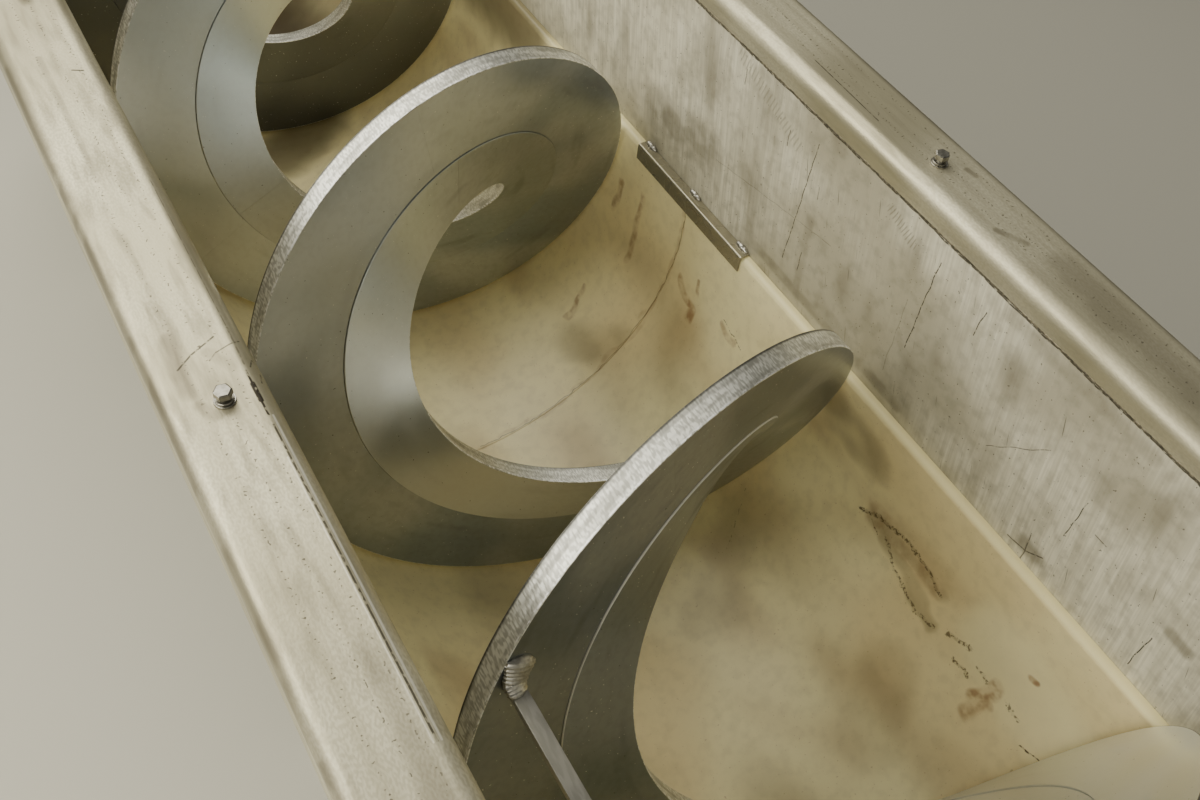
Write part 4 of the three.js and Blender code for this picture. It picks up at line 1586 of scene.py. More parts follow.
@dataclass
class Liner:
    """The plastic liner in two lengths, with the clips that hold its edges at their joint."""

    finishes: dict[str, Material]
    clip_finish: Material
    weld: Material
    notch_from: Trough
    joint: float = 1194.0
    clip_length: float = 200.0
    clip_drop: float = 20.0
    clip_plate: float = 2.0
    clip_bend: float = 2.6
    bead_length: float = 19.0
    ledge_round: float = 6.5

    def section(self) -> FoldedSheet:
        """The liner's wall, led from the right top edge round to the left."""
        sheet = FoldedSheet((SIZES.liner_inner, SIZES.liner_top), (SIZES.liner_outer, SIZES.liner_top))
        return sheet.flat(0.0, -SIZES.liner_top).bend((0.0, 0.0), 180.0, 3.0).flat(0.0, SIZES.liner_top)

    def clip(self, side: Side, joint: float) -> BMesh:
        """One clip: a top leg over the liner's edge and a front leg down its face."""
        way, outer = side.value, side.value * SIZES.liner_outer
        face = SIZES.liner_inner - SIZES.gap
        under = SIZES.liner_top + SIZES.gap
        sheet = FoldedSheet((outer, under + self.clip_plate), (outer, under))
        corner = face - self.clip_plate + self.clip_bend
        sheet.flat(way * (corner - SIZES.liner_outer), 0.0)
        sheet.bend((way * corner, under + self.clip_plate - self.clip_bend), -way * 90.0, 15.0)
        sheet.flat(0.0, -(self.clip_drop - self.clip_bend))
        half = self.clip_length / 2
        return rounded(sheet.cut_off(joint - half, joint + half), 0.3, 1)

    def beads(self, side: Side, joint: float) -> BMesh:
        """The three short welds that hold a clip to the wall."""
        reach = self.clip_length / 2 - self.bead_length / 2 - 2.0
        x = side.value * (SIZES.liner_outer - 2.0)
        z = SIZES.liner_top + self.clip_plate + 1.0
        welds = [
            weld_bead(
                (x, joint + middle - self.bead_length / 2, z),
                (x, joint + middle + self.bead_length / 2, z),
                (-side.value, 0.0, 0.8),
                8.0,
                3.2,
                ripple=4.0,
            )
            for middle in (-reach, 0.0, reach)
        ]
        return joined(welds)

    def round_ledges(self, bm: BMesh) -> None:
        """Rounds the liner's top inner edges, as a router leaves them."""
        bmesh.ops.remove_doubles(bm, verts=bm.verts, dist=0.005)
        corner = Vector((SIZES.liner_inner, SIZES.liner_top))
        ledges = [
            e
            for e in bm.edges
            if all((Vector((abs(v.co.x), v.co.z)) - corner).length < 0.01 for v in e.verts)
        ]
        bevel(bm, ledges, self.ledge_round, 7)

    def build(self) -> None:
        """Makes the liner sheets, the clips and their welds."""
        half_gap = SIZES.gap / 2
        ends = [SIZES.gap - half_gap, self.joint, SIZES.length - half_gap]
        for name, start, end in zip(("drive", "outlet"), ends, ends[1:]):
            bm = self.section().cut_off(start + half_gap, end - half_gap)
            if name == "outlet":
                bm = cut(bm, self.notch_from.notch())
            self.round_ledges(bm)
            rounded(bm, 0.5, 2)
            node = f"{name}_liner"
            finish_piece(f"{node}_sheet", bm, self.finishes[name], nodes=[node])
        for side in Side:
            name = f"{side.word}_clip"
            bent = self.clip(side, self.joint)
            finish_piece(f"{name}_bent", bent, self.clip_finish, nodes=[name])
            finish_piece(f"{name}_welds", self.beads(side, self.joint), self.weld)


@dataclass
class SpiralBand:
    """One length of band, wound round the axis as a helix."""

    inner: float
    outer: float
    front: float
    edge_round: float
    start: float
    end: float
    step: float = 1.5
    butt_gap: float = 0.1

    def build(self) -> BMesh:
        """Winds a straight band, and notes on each vertex its length, radius and depth along the helix."""
        bm = bmesh.new()
        back = self.front + SIZES.band_thickness
        corners = [(self.front, self.inner), (self.front, self.outer), (back, self.outer), (back, self.inner)]
        bm.faces.new([bm.verts.new((0.0, y, z)) for y, z in corners])
        bevel(bm, list(bm.verts), self.edge_round, 2, affect="VERTICES")
        draw_out(bm, (1.0, 0.0, 0.0))
        butt = math.degrees(self.butt_gap / 2 / self.inner)
        start, end = self.start + butt, self.end - butt
        part_lengthwise(bm, 0, math.ceil((end - start) / self.step))
        layer = bm.verts.layers.float_vector.new(WOUND_ATTRIBUTE)
        mean = (self.inner + self.outer) / 2
        for vert in bm.verts:
            done, depth, radius = vert.co
            degrees = start + (end - start) * done
            angle = math.radians(degrees)
            vert[layer] = (angle * mean, radius, depth)
            station = SIZES.flight_station(degrees) + depth
            vert.co = (radius * math.sin(angle), station, radius * math.cos(angle))
        return bm


@dataclass
class Spiral:
    """The shaftless spiral: two bands side by side, stiffened by flat bars near the drive."""

    outer_finish: Material
    inner_finish: Material
    bar_finish: Material
    weld: Material
    outer_joints: tuple[float, ...] = (27.0, 350.0, 710.0, 1070.0, 1319.0, 1679.0, 1998.0)
    inner_joints: tuple[float, ...] = (27.0, 360.0, 720.0, 1080.0, 1323.0, 1683.0, 1998.0)
    bar_radius: float = 231.0
    bar_width: float = 12.8
    bar_thickness: float = 6.0
    bar_lean: float = -27.0
    tie_bar_angle: float = 664.1
    inner_proud: float = 1.3
    outer_round: float = 0.5
    inner_round: float = 0.8

    def bands(self) -> None:
        """Makes the twelve lengths of band."""
        gap = SIZES.gap / 2
        outer = (SIZES.band_split + gap, SIZES.screw_radius, 0.0, self.outer_round)
        inner = (SIZES.core_radius, SIZES.band_split - gap, -self.inner_proud, self.inner_round)
        for name, joints, sizes, finish in (
            ("outer_band", self.outer_joints, outer, self.outer_finish),
            ("inner_band", self.inner_joints, inner, self.inner_finish),
        ):
            for number, (start, end) in enumerate(zip(joints, joints[1:]), 1):
                node = f"{name}_{number}"
                bm = SpiralBand(*sizes, start, end).build()
                finish_piece(f"{node}_rolled", bm, finish, Body.SCREW, [node], 50.0)

    def bar(self, degrees: float, start: float, start_slope: float) -> BMesh:
        """A flat bar along the trough, its far end cut to the slope of the flight that it meets.

        Args:
            degrees: Its angle.
            start: Station of its near end.
            start_slope: 1 where the near end is cut to a flight as well, 0 where it is square.

        Returns:
            The closed mesh.
        """
        half, reach = self.bar_thickness / 2, self.bar_width / 2
        end = SIZES.flight_station(degrees) - SIZES.gap
        bm = block((-half, start, -reach), (half, end, reach))
        rise = SIZES.pitch / math.tau / self.bar_radius
        for vert in bm.verts:
            vert.co.y += rise * vert.co.x * (1.0 if vert.co.y > (start + end) / 2 else start_slope)
        rounded(bm, 0.5, 2)
        spun(bm, math.radians(self.bar_lean))
        _, around, out = self.directions(degrees)
        turn = Matrix((around, (0.0, 1.0, 0.0), out)).transposed().to_4x4()
        bmesh.ops.transform(bm, matrix=Matrix.Translation(out * self.bar_radius) @ turn, verts=bm.verts)
        return bm

    def directions(self, degrees: float) -> tuple[Vector, Vector, Vector]:
        """At an angle: the middle of a bar there at station 0, the way round, and the way out."""
        angle = math.radians(degrees)
        out = Vector((math.sin(angle), 0.0, math.cos(angle)))
        return out * self.bar_radius, Vector((out.z, 0.0, -out.x)), out

    def bar_weld(self, degrees: float, station: float, way: float, slope: float) -> BMesh:
        """The woven fillet between a bar's side and what its end stands on.

        Args:
            degrees: The bar's angle.
            station: Where its end stands.
            way: 1 where the bar runs on from there, -1 where it ends there.
            slope: Rise of the face that it stands on, round the axis.

        Returns:
            The closed mesh.
        """
        middle, around, out = self.directions(degrees)
        along = Vector((0.0, 1.0, 0.0))
        seat = middle + along * station
        high = seat - around * 2.0 + along * way * 11.0
        root = seat + out * 4.0 + around * 6.0 + along * (way * 3.0 + slope * 6.0)
        low = seat + out * 5.0 + around * 25.0 + along * slope * 25.0
        path = [(high, around + along * way), (root, around + along * way), (low, along * way)]
        return weld_run([(tuple(p), tuple(u)) for p, u in path], 16.0, 5.0, 3.0, 0.045, 1.9, 5.0)

    def bars(self) -> None:
        """Makes the bars and their welds."""
        disc_front = SIZES.flight_station(SIZES.spiral_start) - SIZES.inner_band_step - SIZES.gap
        rise = SIZES.pitch / math.tau / self.bar_radius
        welds = []
        rows = [("start_bar_1", 144.0, disc_front, 0.0), ("start_bar_2", 264.0, disc_front, 0.0)]
        back = SIZES.flight_station(self.tie_bar_angle - 360) + SIZES.band_thickness
        rows.append(("tie_bar", self.tie_bar_angle, back, 1.0))
        for name, degrees, seat, sloped in rows:
            bm = self.bar(degrees, seat + SIZES.gap, sloped)
            finish_piece(f"{name}_drawn", bm, self.bar_finish, Body.SCREW, [name])
            welds.append(self.bar_weld(degrees, seat, 1.0, rise * sloped))
            welds.append(self.bar_weld(degrees, SIZES.flight_station(degrees), -1.0, rise))
        finish_piece("bar_welds", joined(welds), self.weld, Body.SCREW)

    def build(self) -> None:
        """Makes the bands and the bars."""
        self.bands()
        self.bars()


@dataclass
class SpiralDrive:
    """The disc that carries the spiral, bolted to the end of the drive shaft."""

    finish: Material
    zinc: Material
    weld: Material
    radius: float = 240.0
    thickness: float = 20.0
    bolt_circle: float = 68.0
    bolt: HexBolt = field(default_factory=lambda: HexBolt.metric(16))

    def build(self) -> None:
        """Makes the disc, its bolts and the welds to the spiral's first band."""
        front = SIZES.flight_station(SIZES.spiral_start) - SIZES.inner_band_step - SIZES.gap
        back = front - self.thickness
        profile = [(0.0, back), (self.radius, back, True), (self.radius, front, True), (0.0, front)]
        disc = turned(cornered(profile, 1.5), 128)
        finish_piece("drive_disc_turned", disc, self.finish, Body.SCREW, ["drive_disc"], 30.0)
        bolts = self.bolt.row(around(6, self.bolt_circle, front), (0, 1, 0), 0.3)
        fasten("drive_disc_bolts", bolts, self.zinc, Body.SCREW)
        beads = [
            weld_run(arc_path(radius, front + 2.0, 63.0, 30.0, 1.0), 9.0, 4.0, 5.0)
            for radius in (SIZES.core_radius + 8.0, SIZES.screw_radius - 22.0)
        ]
        finish_piece("drive_disc_welds", joined(beads), self.weld, Body.SCREW)
        dress("drive_shaft", self.finish)


@dataclass
class ShaftGland:
    """The stuffing gland on the drive end plate, with its follower and studs."""

    finish: Material
    zinc: Material
    bore: float = 45.65
    flange: float = 110.0
    body: float = 80.0
    neck: float = 64.0
    end: float = -10.6
    flange_start: float = -24.6
    body_start: float = -46.0
    follower: tuple[float, float] = (-51.0, -60.5)
    tail: float = -70.6
    bolt_circle: float = 95.0
    stud_circle: float = 72.0
    nipple: float = -36.0

    def build(self) -> None:
        """Makes the gland, its follower, its bolts and its grease nipple."""
        near, far = self.follower
        profile = [
            (self.bore, self.tail), (self.neck, self.tail, True), (self.neck, far), (self.body, far, True),
            (self.body, near, True), (self.neck, near), (self.neck, self.body_start),
            (self.body, self.body_start, True), (self.body, self.flange_start),
            (self.flange, self.flange_start, True), (self.flange, self.end, True), (self.bore, self.end),
            (self.bore, self.tail),
        ]
        bm = turned(cornered(profile, 1.2), 96)
        finish_piece("shaft_gland_turned", bm, self.finish, Body.FRAME, ["shaft_gland"], 30.0)
        bolts = HexBolt.metric(12).row(around(6, self.bolt_circle, self.flange_start, 30.0), (0, -1, 0), 0.4)
        bolts += HexBolt.metric(8).row(around(3, self.stud_circle, far, 90.0), (0, -1, 0), 0.5)
        studs = around(3, self.stud_circle, self.body_start, 90.0)
        bolts += [rod(seat, (0, -1, 0), 4.0, 5.5, 16) for seat in studs]
        foot, tip = (0.0, self.nipple, self.body - 0.5), (0.0, self.nipple, self.body + 5.0)
        nipple = [rod(foot, (0, 0, 1), 5.5, 6.0, 6), rod(tip, (0, 0, 1), 3.0, 6.0, 16)]
        for name, parts in (("bolts", bolts), ("nipple", nipple)):
            fasten(f"shaft_gland_{name}", parts, self.zinc)


@dataclass
class GearHousing:
    """The gearbox: a cast housing with cut corners, sunk side panels, a bolted flange and a top cover."""

    paint: Material
    zinc: Material
    start: float = -340.9
    end: float = -70.9
    flange_start: float = -88.9
    flange_radius: float = 150.0
    half_width: float = 122.0
    corner: float = 40.0
    panel_margin: float = 20.0
    panel_depth: float = 4.0
    bore: float = 45.65
    bore_depth: float = 200.0
    bolt_circle: float = 136.5
    bolt_aside: float = 8.0
    cover_height: float = 7.0
    plug_station: float = -214.0
    plug_heights: tuple[float, float] = (-80.0, 76.0)
    eye_station: float = -215.0

    @property
    def panel(self) -> float:
        """How far the sunk panels lie from the middle."""
        return self.half_width - self.panel_depth

    def shell(self) -> BMesh:
        """The housing: a block whose corners are cut, its long panels sunk, its edges rounded."""
        half = self.half_width
        bm = block((-half, self.start, -half), (half, self.flange_start + 1.0, half))
        upright_corners(bm, self.corner, axis=1, segments=1)
        panels = [f for f in bm.faces if abs(f.normal.y) < 0.1 and f.calc_area() > 30000.0]
        bmesh.ops.inset_individual(bm, faces=panels, thickness=self.panel_margin, depth=0.0)
        bmesh.ops.inset_individual(bm, faces=panels, thickness=3.0, depth=-self.panel_depth)
        rounded(bm, 2.5, 3, above=25.0)
        return bm

    def flange(self) -> BMesh:
        """The output flange."""
        start, end, radius = self.flange_start, self.end, self.flange_radius
        face, back = (self.bore, start), (self.bore, end)
        return turned(cornered([face, (radius, start, True), (radius, end, True), back, face], 1.5), 96)

    def fittings(self) -> BMesh:
        """The ribs on the sunk panels, the top cover and the bosses of the oil plugs."""
        sunk = self.panel - 1.0
        parts = []
        for station in range(-310, -110, 33):
            for way in (1, -1):
                low, high = sorted((way * sunk, way * (self.panel + 3.2)))
                parts.append(rounded(block((low, station, -58.0), (high, station + 6.0, 58.0)), 1.4))
        cover = block((-56.0, -300.0, sunk), (56.0, -130.0, self.panel + self.cover_height))
        parts.append(rounded(upright_corners(cover, 12.0), 1.5))
        for z in self.plug_heights:
            parts.append(rod((sunk, self.plug_station, z), (1, 0, 0), 15.0, 5.0, 24))
        return joined(parts)

    def fasteners(self) -> list[BMesh]:
        """The bolts of flange and cover, the oil plugs and the lifting eye."""
        seats = [
            seat
            for aside in (-self.bolt_aside, self.bolt_aside)
            for seat in around(4, self.bolt_circle, self.flange_start, aside)
        ]
        parts = HexBolt.metric(11).row(seats, (0, -1, 0), 0.3)
        top = self.panel + self.cover_height
        for x in (-44.0, 44.0):
            for station in (-288.0, -215.0, -142.0):
                parts.append(HexBolt.metric(8).at((x, station, top), turn=x + station))
        for z in self.plug_heights:
            parts.append(HexBolt.metric(14).at((self.panel + 4.0, self.plug_station, z), (1, 0, 0)))
        parts.append(rod((0.0, self.eye_station, top - 0.5), (0, 0, 1), 14.0, 6.0, 24))
        parts.append(ring((0.0, self.eye_station, top + 21.0), (0, 1, 0), 16.0, 5.0))
        return parts

    def build(self) -> None:
        """Makes the housing and what is fixed to it."""
        bore = rod((0.0, self.end - self.bore_depth, 0.0), (0, 1, 0), self.bore, self.bore_depth + 5.0, 64)
        shell = cut(self.shell(), bore)
        whole = joined([shell, self.flange(), self.fittings()])
        finish_piece("gearbox_cast", whole, self.paint, nodes=["gearbox"], smooth=32.0)
        fasten("gearbox_bolts", self.fasteners(), self.zinc)


@dataclass
class FinnedMotor:
    """The motor: a ribbed stator frame between two end bells, with its flange."""

    paint: Material
    zinc: Material
    start: float = -641.2
    end: float = -341.2
    flange_start: float = -357.2
    flange_radius: float = 118.0
    radius: float = 98.0
    core: float = 84.0
    fins: int = 40
    fin_thickness: float = 2.6
    bell: float = 30.0
    bolt_circle: float = 108.0
    pad_half_width: float = 48.0
    pad: tuple[float, float] = (-532.0, -432.0)

    def frame_body(self) -> BMesh:
        """The turned body: bells at both ends, the stator's core between them and the flange."""
        big = 8.0
        near = self.radius - big / 2
        fin_start, fin_end = self.start + self.bell, self.flange_start - self.bell
        profile = [
            (0.0, self.start), (self.radius, self.start, True), (self.radius, fin_start - big),
            (near, fin_start - big / 3), (self.core, fin_start), (self.core, fin_end),
            (near, fin_end + big / 3), (self.radius, fin_end + big), (self.radius, self.flange_start),
            (self.flange_radius, self.flange_start, True), (self.flange_radius, self.end, True),
            (0.0, self.end),
        ]
        return turned(cornered(profile, 1.5), 96)

    def ribs(self) -> list[BMesh]:
        """The cooling fins along the stator."""
        ribs = []
        half = self.fin_thickness / 2
        for i in range(self.fins):
            fin = block(
                (-half, self.start + self.bell - 4.0, self.core - 2.0),
                (half, self.flange_start - self.bell + 4.0, self.radius),
            )
            outer = [e for e in fin.edges if all(v.co.z > self.radius - 0.1 for v in e.verts)]
            bevel(fin, outer, 0.8, 1)
            ribs.append(spun(fin, math.tau * i / self.fins))
        return ribs

    def build(self) -> None:
        """Makes the motor and its bolts."""
        half, (start, end) = self.pad_half_width, self.pad
        pad = rounded(block((-half, start, self.core - 2.0), (half, end, self.radius)), 1.5)
        whole = joined([self.frame_body(), *self.ribs(), pad])
        finish_piece("motor_cast", whole, self.paint, nodes=["motor"], smooth=32.0)
        seats = around(6, self.bolt_circle, self.flange_start, 30.0)
        fasten("motor_bolts", HexBolt.metric(8).row(seats, (0, -1, 0), 0.4), self.zinc)


@dataclass
class FanCover:
    """The pressed cover over the motor's fan, with a wire grille and the fan behind it."""

    paint: Material
    fan_finish: Material
    zinc: Material
    start: float = -731.5
    end: float = -641.5
    radius: float = 105.0
    bend: float = 18.0
    sheet: float = 2.0
    opening: float = 78.0
    wire: float = 1.7
    rings: int = 6
    spokes: int = 8
    blades: int = 9
    fan: tuple[float, float] = (-700.0, -650.0)
    fan_radius: float = 92.0
    hub: float = 24.0

    def shell(self) -> BMesh:
        """The drawn shell, round its bend and in to the grille's edge."""
        def led(radius: float, bend: float) -> list[tuple[float, float]]:
            """The outer or the inner face's line, from the open end to the grille."""
            centre = (self.radius - self.bend, self.start + self.bend)
            line = [(radius, self.end)]
            for step in range(9):
                angle = math.radians(90.0 * step / 8)
                line.append((centre[0] + bend * math.cos(angle), centre[1] - bend * math.sin(angle)))
            line.append((self.opening, centre[1] - bend))
            return line

        outer = led(self.radius, self.bend)
        inner = led(self.radius - self.sheet, self.bend - self.sheet)
        return turned([*outer, *reversed(inner), outer[0]], 96)

    def grille(self) -> BMesh:
        """Rings of wire on spokes, round a small disc."""
        station = self.start + self.wire + 0.2
        parts = []
        for i in range(self.rings):
            radius = self.opening + 1.0 - i * (self.opening - 14.0) / (self.rings - 0.5)
            parts.append(ring((0.0, station, 0.0), (0, 1, 0), radius, self.wire, 64))
        for x, _, z in around(self.spokes, 1.0, 0.0, 11.0):
            start = (12.0 * x, station + 2.4, 12.0 * z)
            parts.append(rod(start, (x, 0.0, z), self.wire, self.opening - 10.0, 8))
        parts.append(rounded(rod((0.0, station - 0.8, 0.0), (0, 1, 0), 15.0, 4.0, 32), 0.8))
        return joined(parts)

    def radial_fan(self) -> BMesh:
        """The radial fan: a hub, a back plate and straight blades."""
        start, end = self.fan
        parts = [rounded(rod((0.0, start, 0.0), (0, 1, 0), self.hub, end - start, 32), 2.0)]
        parts.append(rod((0.0, end - 12.0, 0.0), (0, 1, 0), self.fan_radius, 3.0, 64))
        for i in range(self.blades):
            blade = block((-1.4, start - 2.0, self.hub - 2.0), (1.4, end - 11.0, self.fan_radius))
            parts.append(spun(blade, math.tau * i / self.blades))
        return joined(parts)

    def build(self) -> None:
        """Makes the cover, the fan behind it and the screws that hold it."""
        whole = joined([self.shell(), self.grille()])
        finish_piece("fan_cover_pressed", whole, self.paint, Body.FRAME, ["fan_cover"], 35.0)
        finish_piece("fan_moulded", self.radial_fan(), self.fan_finish, smooth=35.0)
        screws = []
        for x, _, z in around(4, 1.0, 0.0, 45.0):
            seat = (self.radius * x, self.end - 9.0, self.radius * z)
            screws.append(HexBolt.metric(5).at(seat, (x, 0.0, z)))
        fasten("fan_cover_screws", screws, self.zinc)


@dataclass
class TerminalBox:
    """The motor's terminal box: a cast base, a screwed lid and a plugged cable entry."""

    paint: Material
    zinc: Material
    half_width: float = 60.0
    start: float = -537.2
    end: float = -427.2
    low: float = 98.3
    seam: float = 147.0
    top: float = 160.3

    def build(self) -> None:
        """Makes the box and its screws."""
        half, inset = self.half_width, 2.0
        base, lid, seal = (
            block((edge - half, self.start + edge, low), (half - edge, self.end - edge, high))
            for edge, low, high in (
                (inset, self.low, self.seam),
                (0.0, self.seam + 1.2, self.top),
                (4.0, self.seam - 0.5, self.seam + 1.7),
            )
        )
        parts = [rounded(upright_corners(bm, 9.0), 1.8, 2) for bm in (base, lid)] + [seal]
        entry = (half - inset - 1.0, (self.start + self.end) / 2, 122.0)
        parts.append(rounded(rod(entry, (1, 0, 0), 17.0, 9.0, 6), 1.0))
        whole = joined(parts)
        node = "terminal_box"
        finish_piece(f"{node}_cast", whole, self.paint, Body.FRAME, [node], 32.0)
        screws = [
            HexBolt.metric(5).at((x, station, self.top), turn=x)
            for x in (-half + 10, half - 10)
            for station in (self.start + 10, self.end - 10)
        ]
        plug = (entry[0] + 8.0, entry[1], entry[2])
        screws.append(rounded(rod(plug, (1, 0, 0), 12.5, 6.0, 24), 1.0))
        fasten("terminal_box_screws", screws, self.zinc)


@dataclass
class Ends:
    """The trough's end plates and the outlet below its far end, all welded on."""

    finish: Material
    weld: Material
    plate_radius: float = 300.0
    drive_plate: tuple[float, float] = (-10.3, -0.3)
    drive_bore: float = 60.0
    outlet_plate: tuple[float, float] = (2448.3, 2456.3)
    lid: float = -190.0
    duct_half: float = 200.0
    duct_start: float = 2108.0
    duct_end: float = 2478.6
    bottom: float = -428.0
    flange_width: float = 40.0
    flange_thickness: float = 8.0
    hole: float = 14.0

    def drive_end(self) -> BMesh:
        """The plate at the drive, with the shaft's bore."""
        start, end = self.drive_plate
        bore = rod((0.0, start - 5.0, 0.0), (0, 1, 0), self.drive_bore, end - start + 10.0, 64)
        plate = cut(u_plate(start, end, self.plate_radius, SIZES.rail_top), bore)
        return rounded(plate, 0.8, 2)

    def outlet_end(self) -> BMesh:
        """The plate above the outlet, with its passage."""
        start, end = self.outlet_plate
        side = self.duct_half + SIZES.plate + SIZES.gap
        passage = block((-side, start - 5.0, -2 * self.plate_radius), (side, end + 5.0, self.lid))
        plate = cut(u_plate(start, end, self.plate_radius, SIZES.rail_top), passage)
        return rounded(plate, 0.8, 2)

    def duct(self) -> BMesh:
        """The duct's walls, fitted to the trough above them."""
        half, wall = self.duct_half, SIZES.plate
        low, lid_top = self.bottom + self.flange_thickness - 0.1, self.lid + wall
        start, end = self.duct_start, self.duct_end
        walls = block((-half - wall, start - wall, low), (half + wall, end + wall, -146.0))
        inside = block((-half, start, 2 * self.bottom), (half, end, self.lid))
        reach = self.outlet_plate[1] + SIZES.gap - start + 8.0
        radius = SIZES.half_width + wall + SIZES.gap
        trough = rod((0.0, start - 8.0, 0.0), (0, 1, 0), radius, reach, 120)
        first, last = SIZES.length - SIZES.gap, self.outlet_plate[1] + SIZES.gap
        plate_space = block((-2 * half, first, self.lid - SIZES.gap), (2 * half, last, 50.0))
        above = block((-2 * half, last - 1.0, lid_top), (2 * half, 2 * end, 60.0))
        for space in (inside, trough, plate_space, above):
            walls = cut(walls, space)
        return rounded(walls, 0.5, 1, above=60.0)

    def flange(self) -> BMesh:
        """The bolted flange round the duct's foot."""
        half, width = self.duct_half, self.flange_width
        low, high = self.bottom, self.bottom + self.flange_thickness
        start, end = self.duct_start - width, self.duct_end + width
        plate = upright_corners(block((-half - width, start, low), (half + width, end, high)), 6.0)
        hole = block((-half, self.duct_start, low - 5.0), (half, self.duct_end, high + 5.0))
        line = half + width / 2
        places = [(x, y) for x in (-line, line) for y in (start + 20.0, (start + end) / 2, end - 20.0)]
        places += [(x, y) for x in (-line / 3, line / 3) for y in (start + 20.0, end - 20.0)]
        drills = [rod((x, y, low - 5.0), (0, 0, 1), self.hole / 2, 18.0, 24) for x, y in places]
        return rounded(cut(cut(plate, hole), *drills), 0.6, 1, above=60.0)

    def welds(self) -> BMesh:
        """The fillets between plates, trough, duct and flange."""
        outside = SIZES.half_width + SIZES.plate + 0.5
        beads = [weld_run(u_path(outside, 0.4, SIZES.seam_height - 2.0, 1.0), *FILLET)]
        bottom_gap = math.degrees(math.acos((self.duct_half + 10.0) / outside))
        last = self.outlet_plate[0] - 0.6
        for way, start in ((1, -bottom_gap), (-1, bottom_gap - 180.0)):
            turn = 0.0 if way > 0 else -180.0
            path = [((way * outside, last, SIZES.seam_height - 2.0), (way, -1.0, 0.0))]
            beads.append(weld_run(path + arc_path(outside, last, turn, start, -1.0), *FILLET))
        half, low = self.duct_half + SIZES.plate, self.bottom + self.flange_thickness
        start, end = self.duct_start - SIZES.plate, self.duct_end + SIZES.plate
        for a, b, up in (
            ((-half, start, low), (half, start, low), (0.0, -1.0, 1.0)),
            ((half, start, low), (half, end, low), (1.0, 0.0, 1.0)),
            ((half, end, low), (-half, end, low), (0.0, 1.0, 1.0)),
            ((-half, end, low), (-half, start, low), (-1.0, 0.0, 1.0)),
        ):
            beads.append(weld_bead(a, b, up, *FILLET))
        depth = -math.sqrt(outside**2 - half**2)
        for way in (1, -1):
            seam = [(way * (half + 0.6), y, depth - 0.6) for y in (start + 4.0, SIZES.length - 4.0)]
            beads.append(weld_bead(*seam, (way, 0.0, -0.3), 7.0, 3.5, 5.0))
        return joined(beads)

    def build(self) -> None:
        """Makes the end plates, the outlet and their welds."""
        for node, plate in (("drive_end_plate", self.drive_end()), ("outlet_end_plate", self.outlet_end())):
            finish_piece(f"{node}_cut", plate, self.finish, nodes=[node])
        spout = joined([self.duct(), self.flange()])
        finish_piece("outlet_spout_welded", spout, self.finish, nodes=["outlet_spout"])
        finish_piece("end_and_outlet_welds", self.welds(), self.weld)


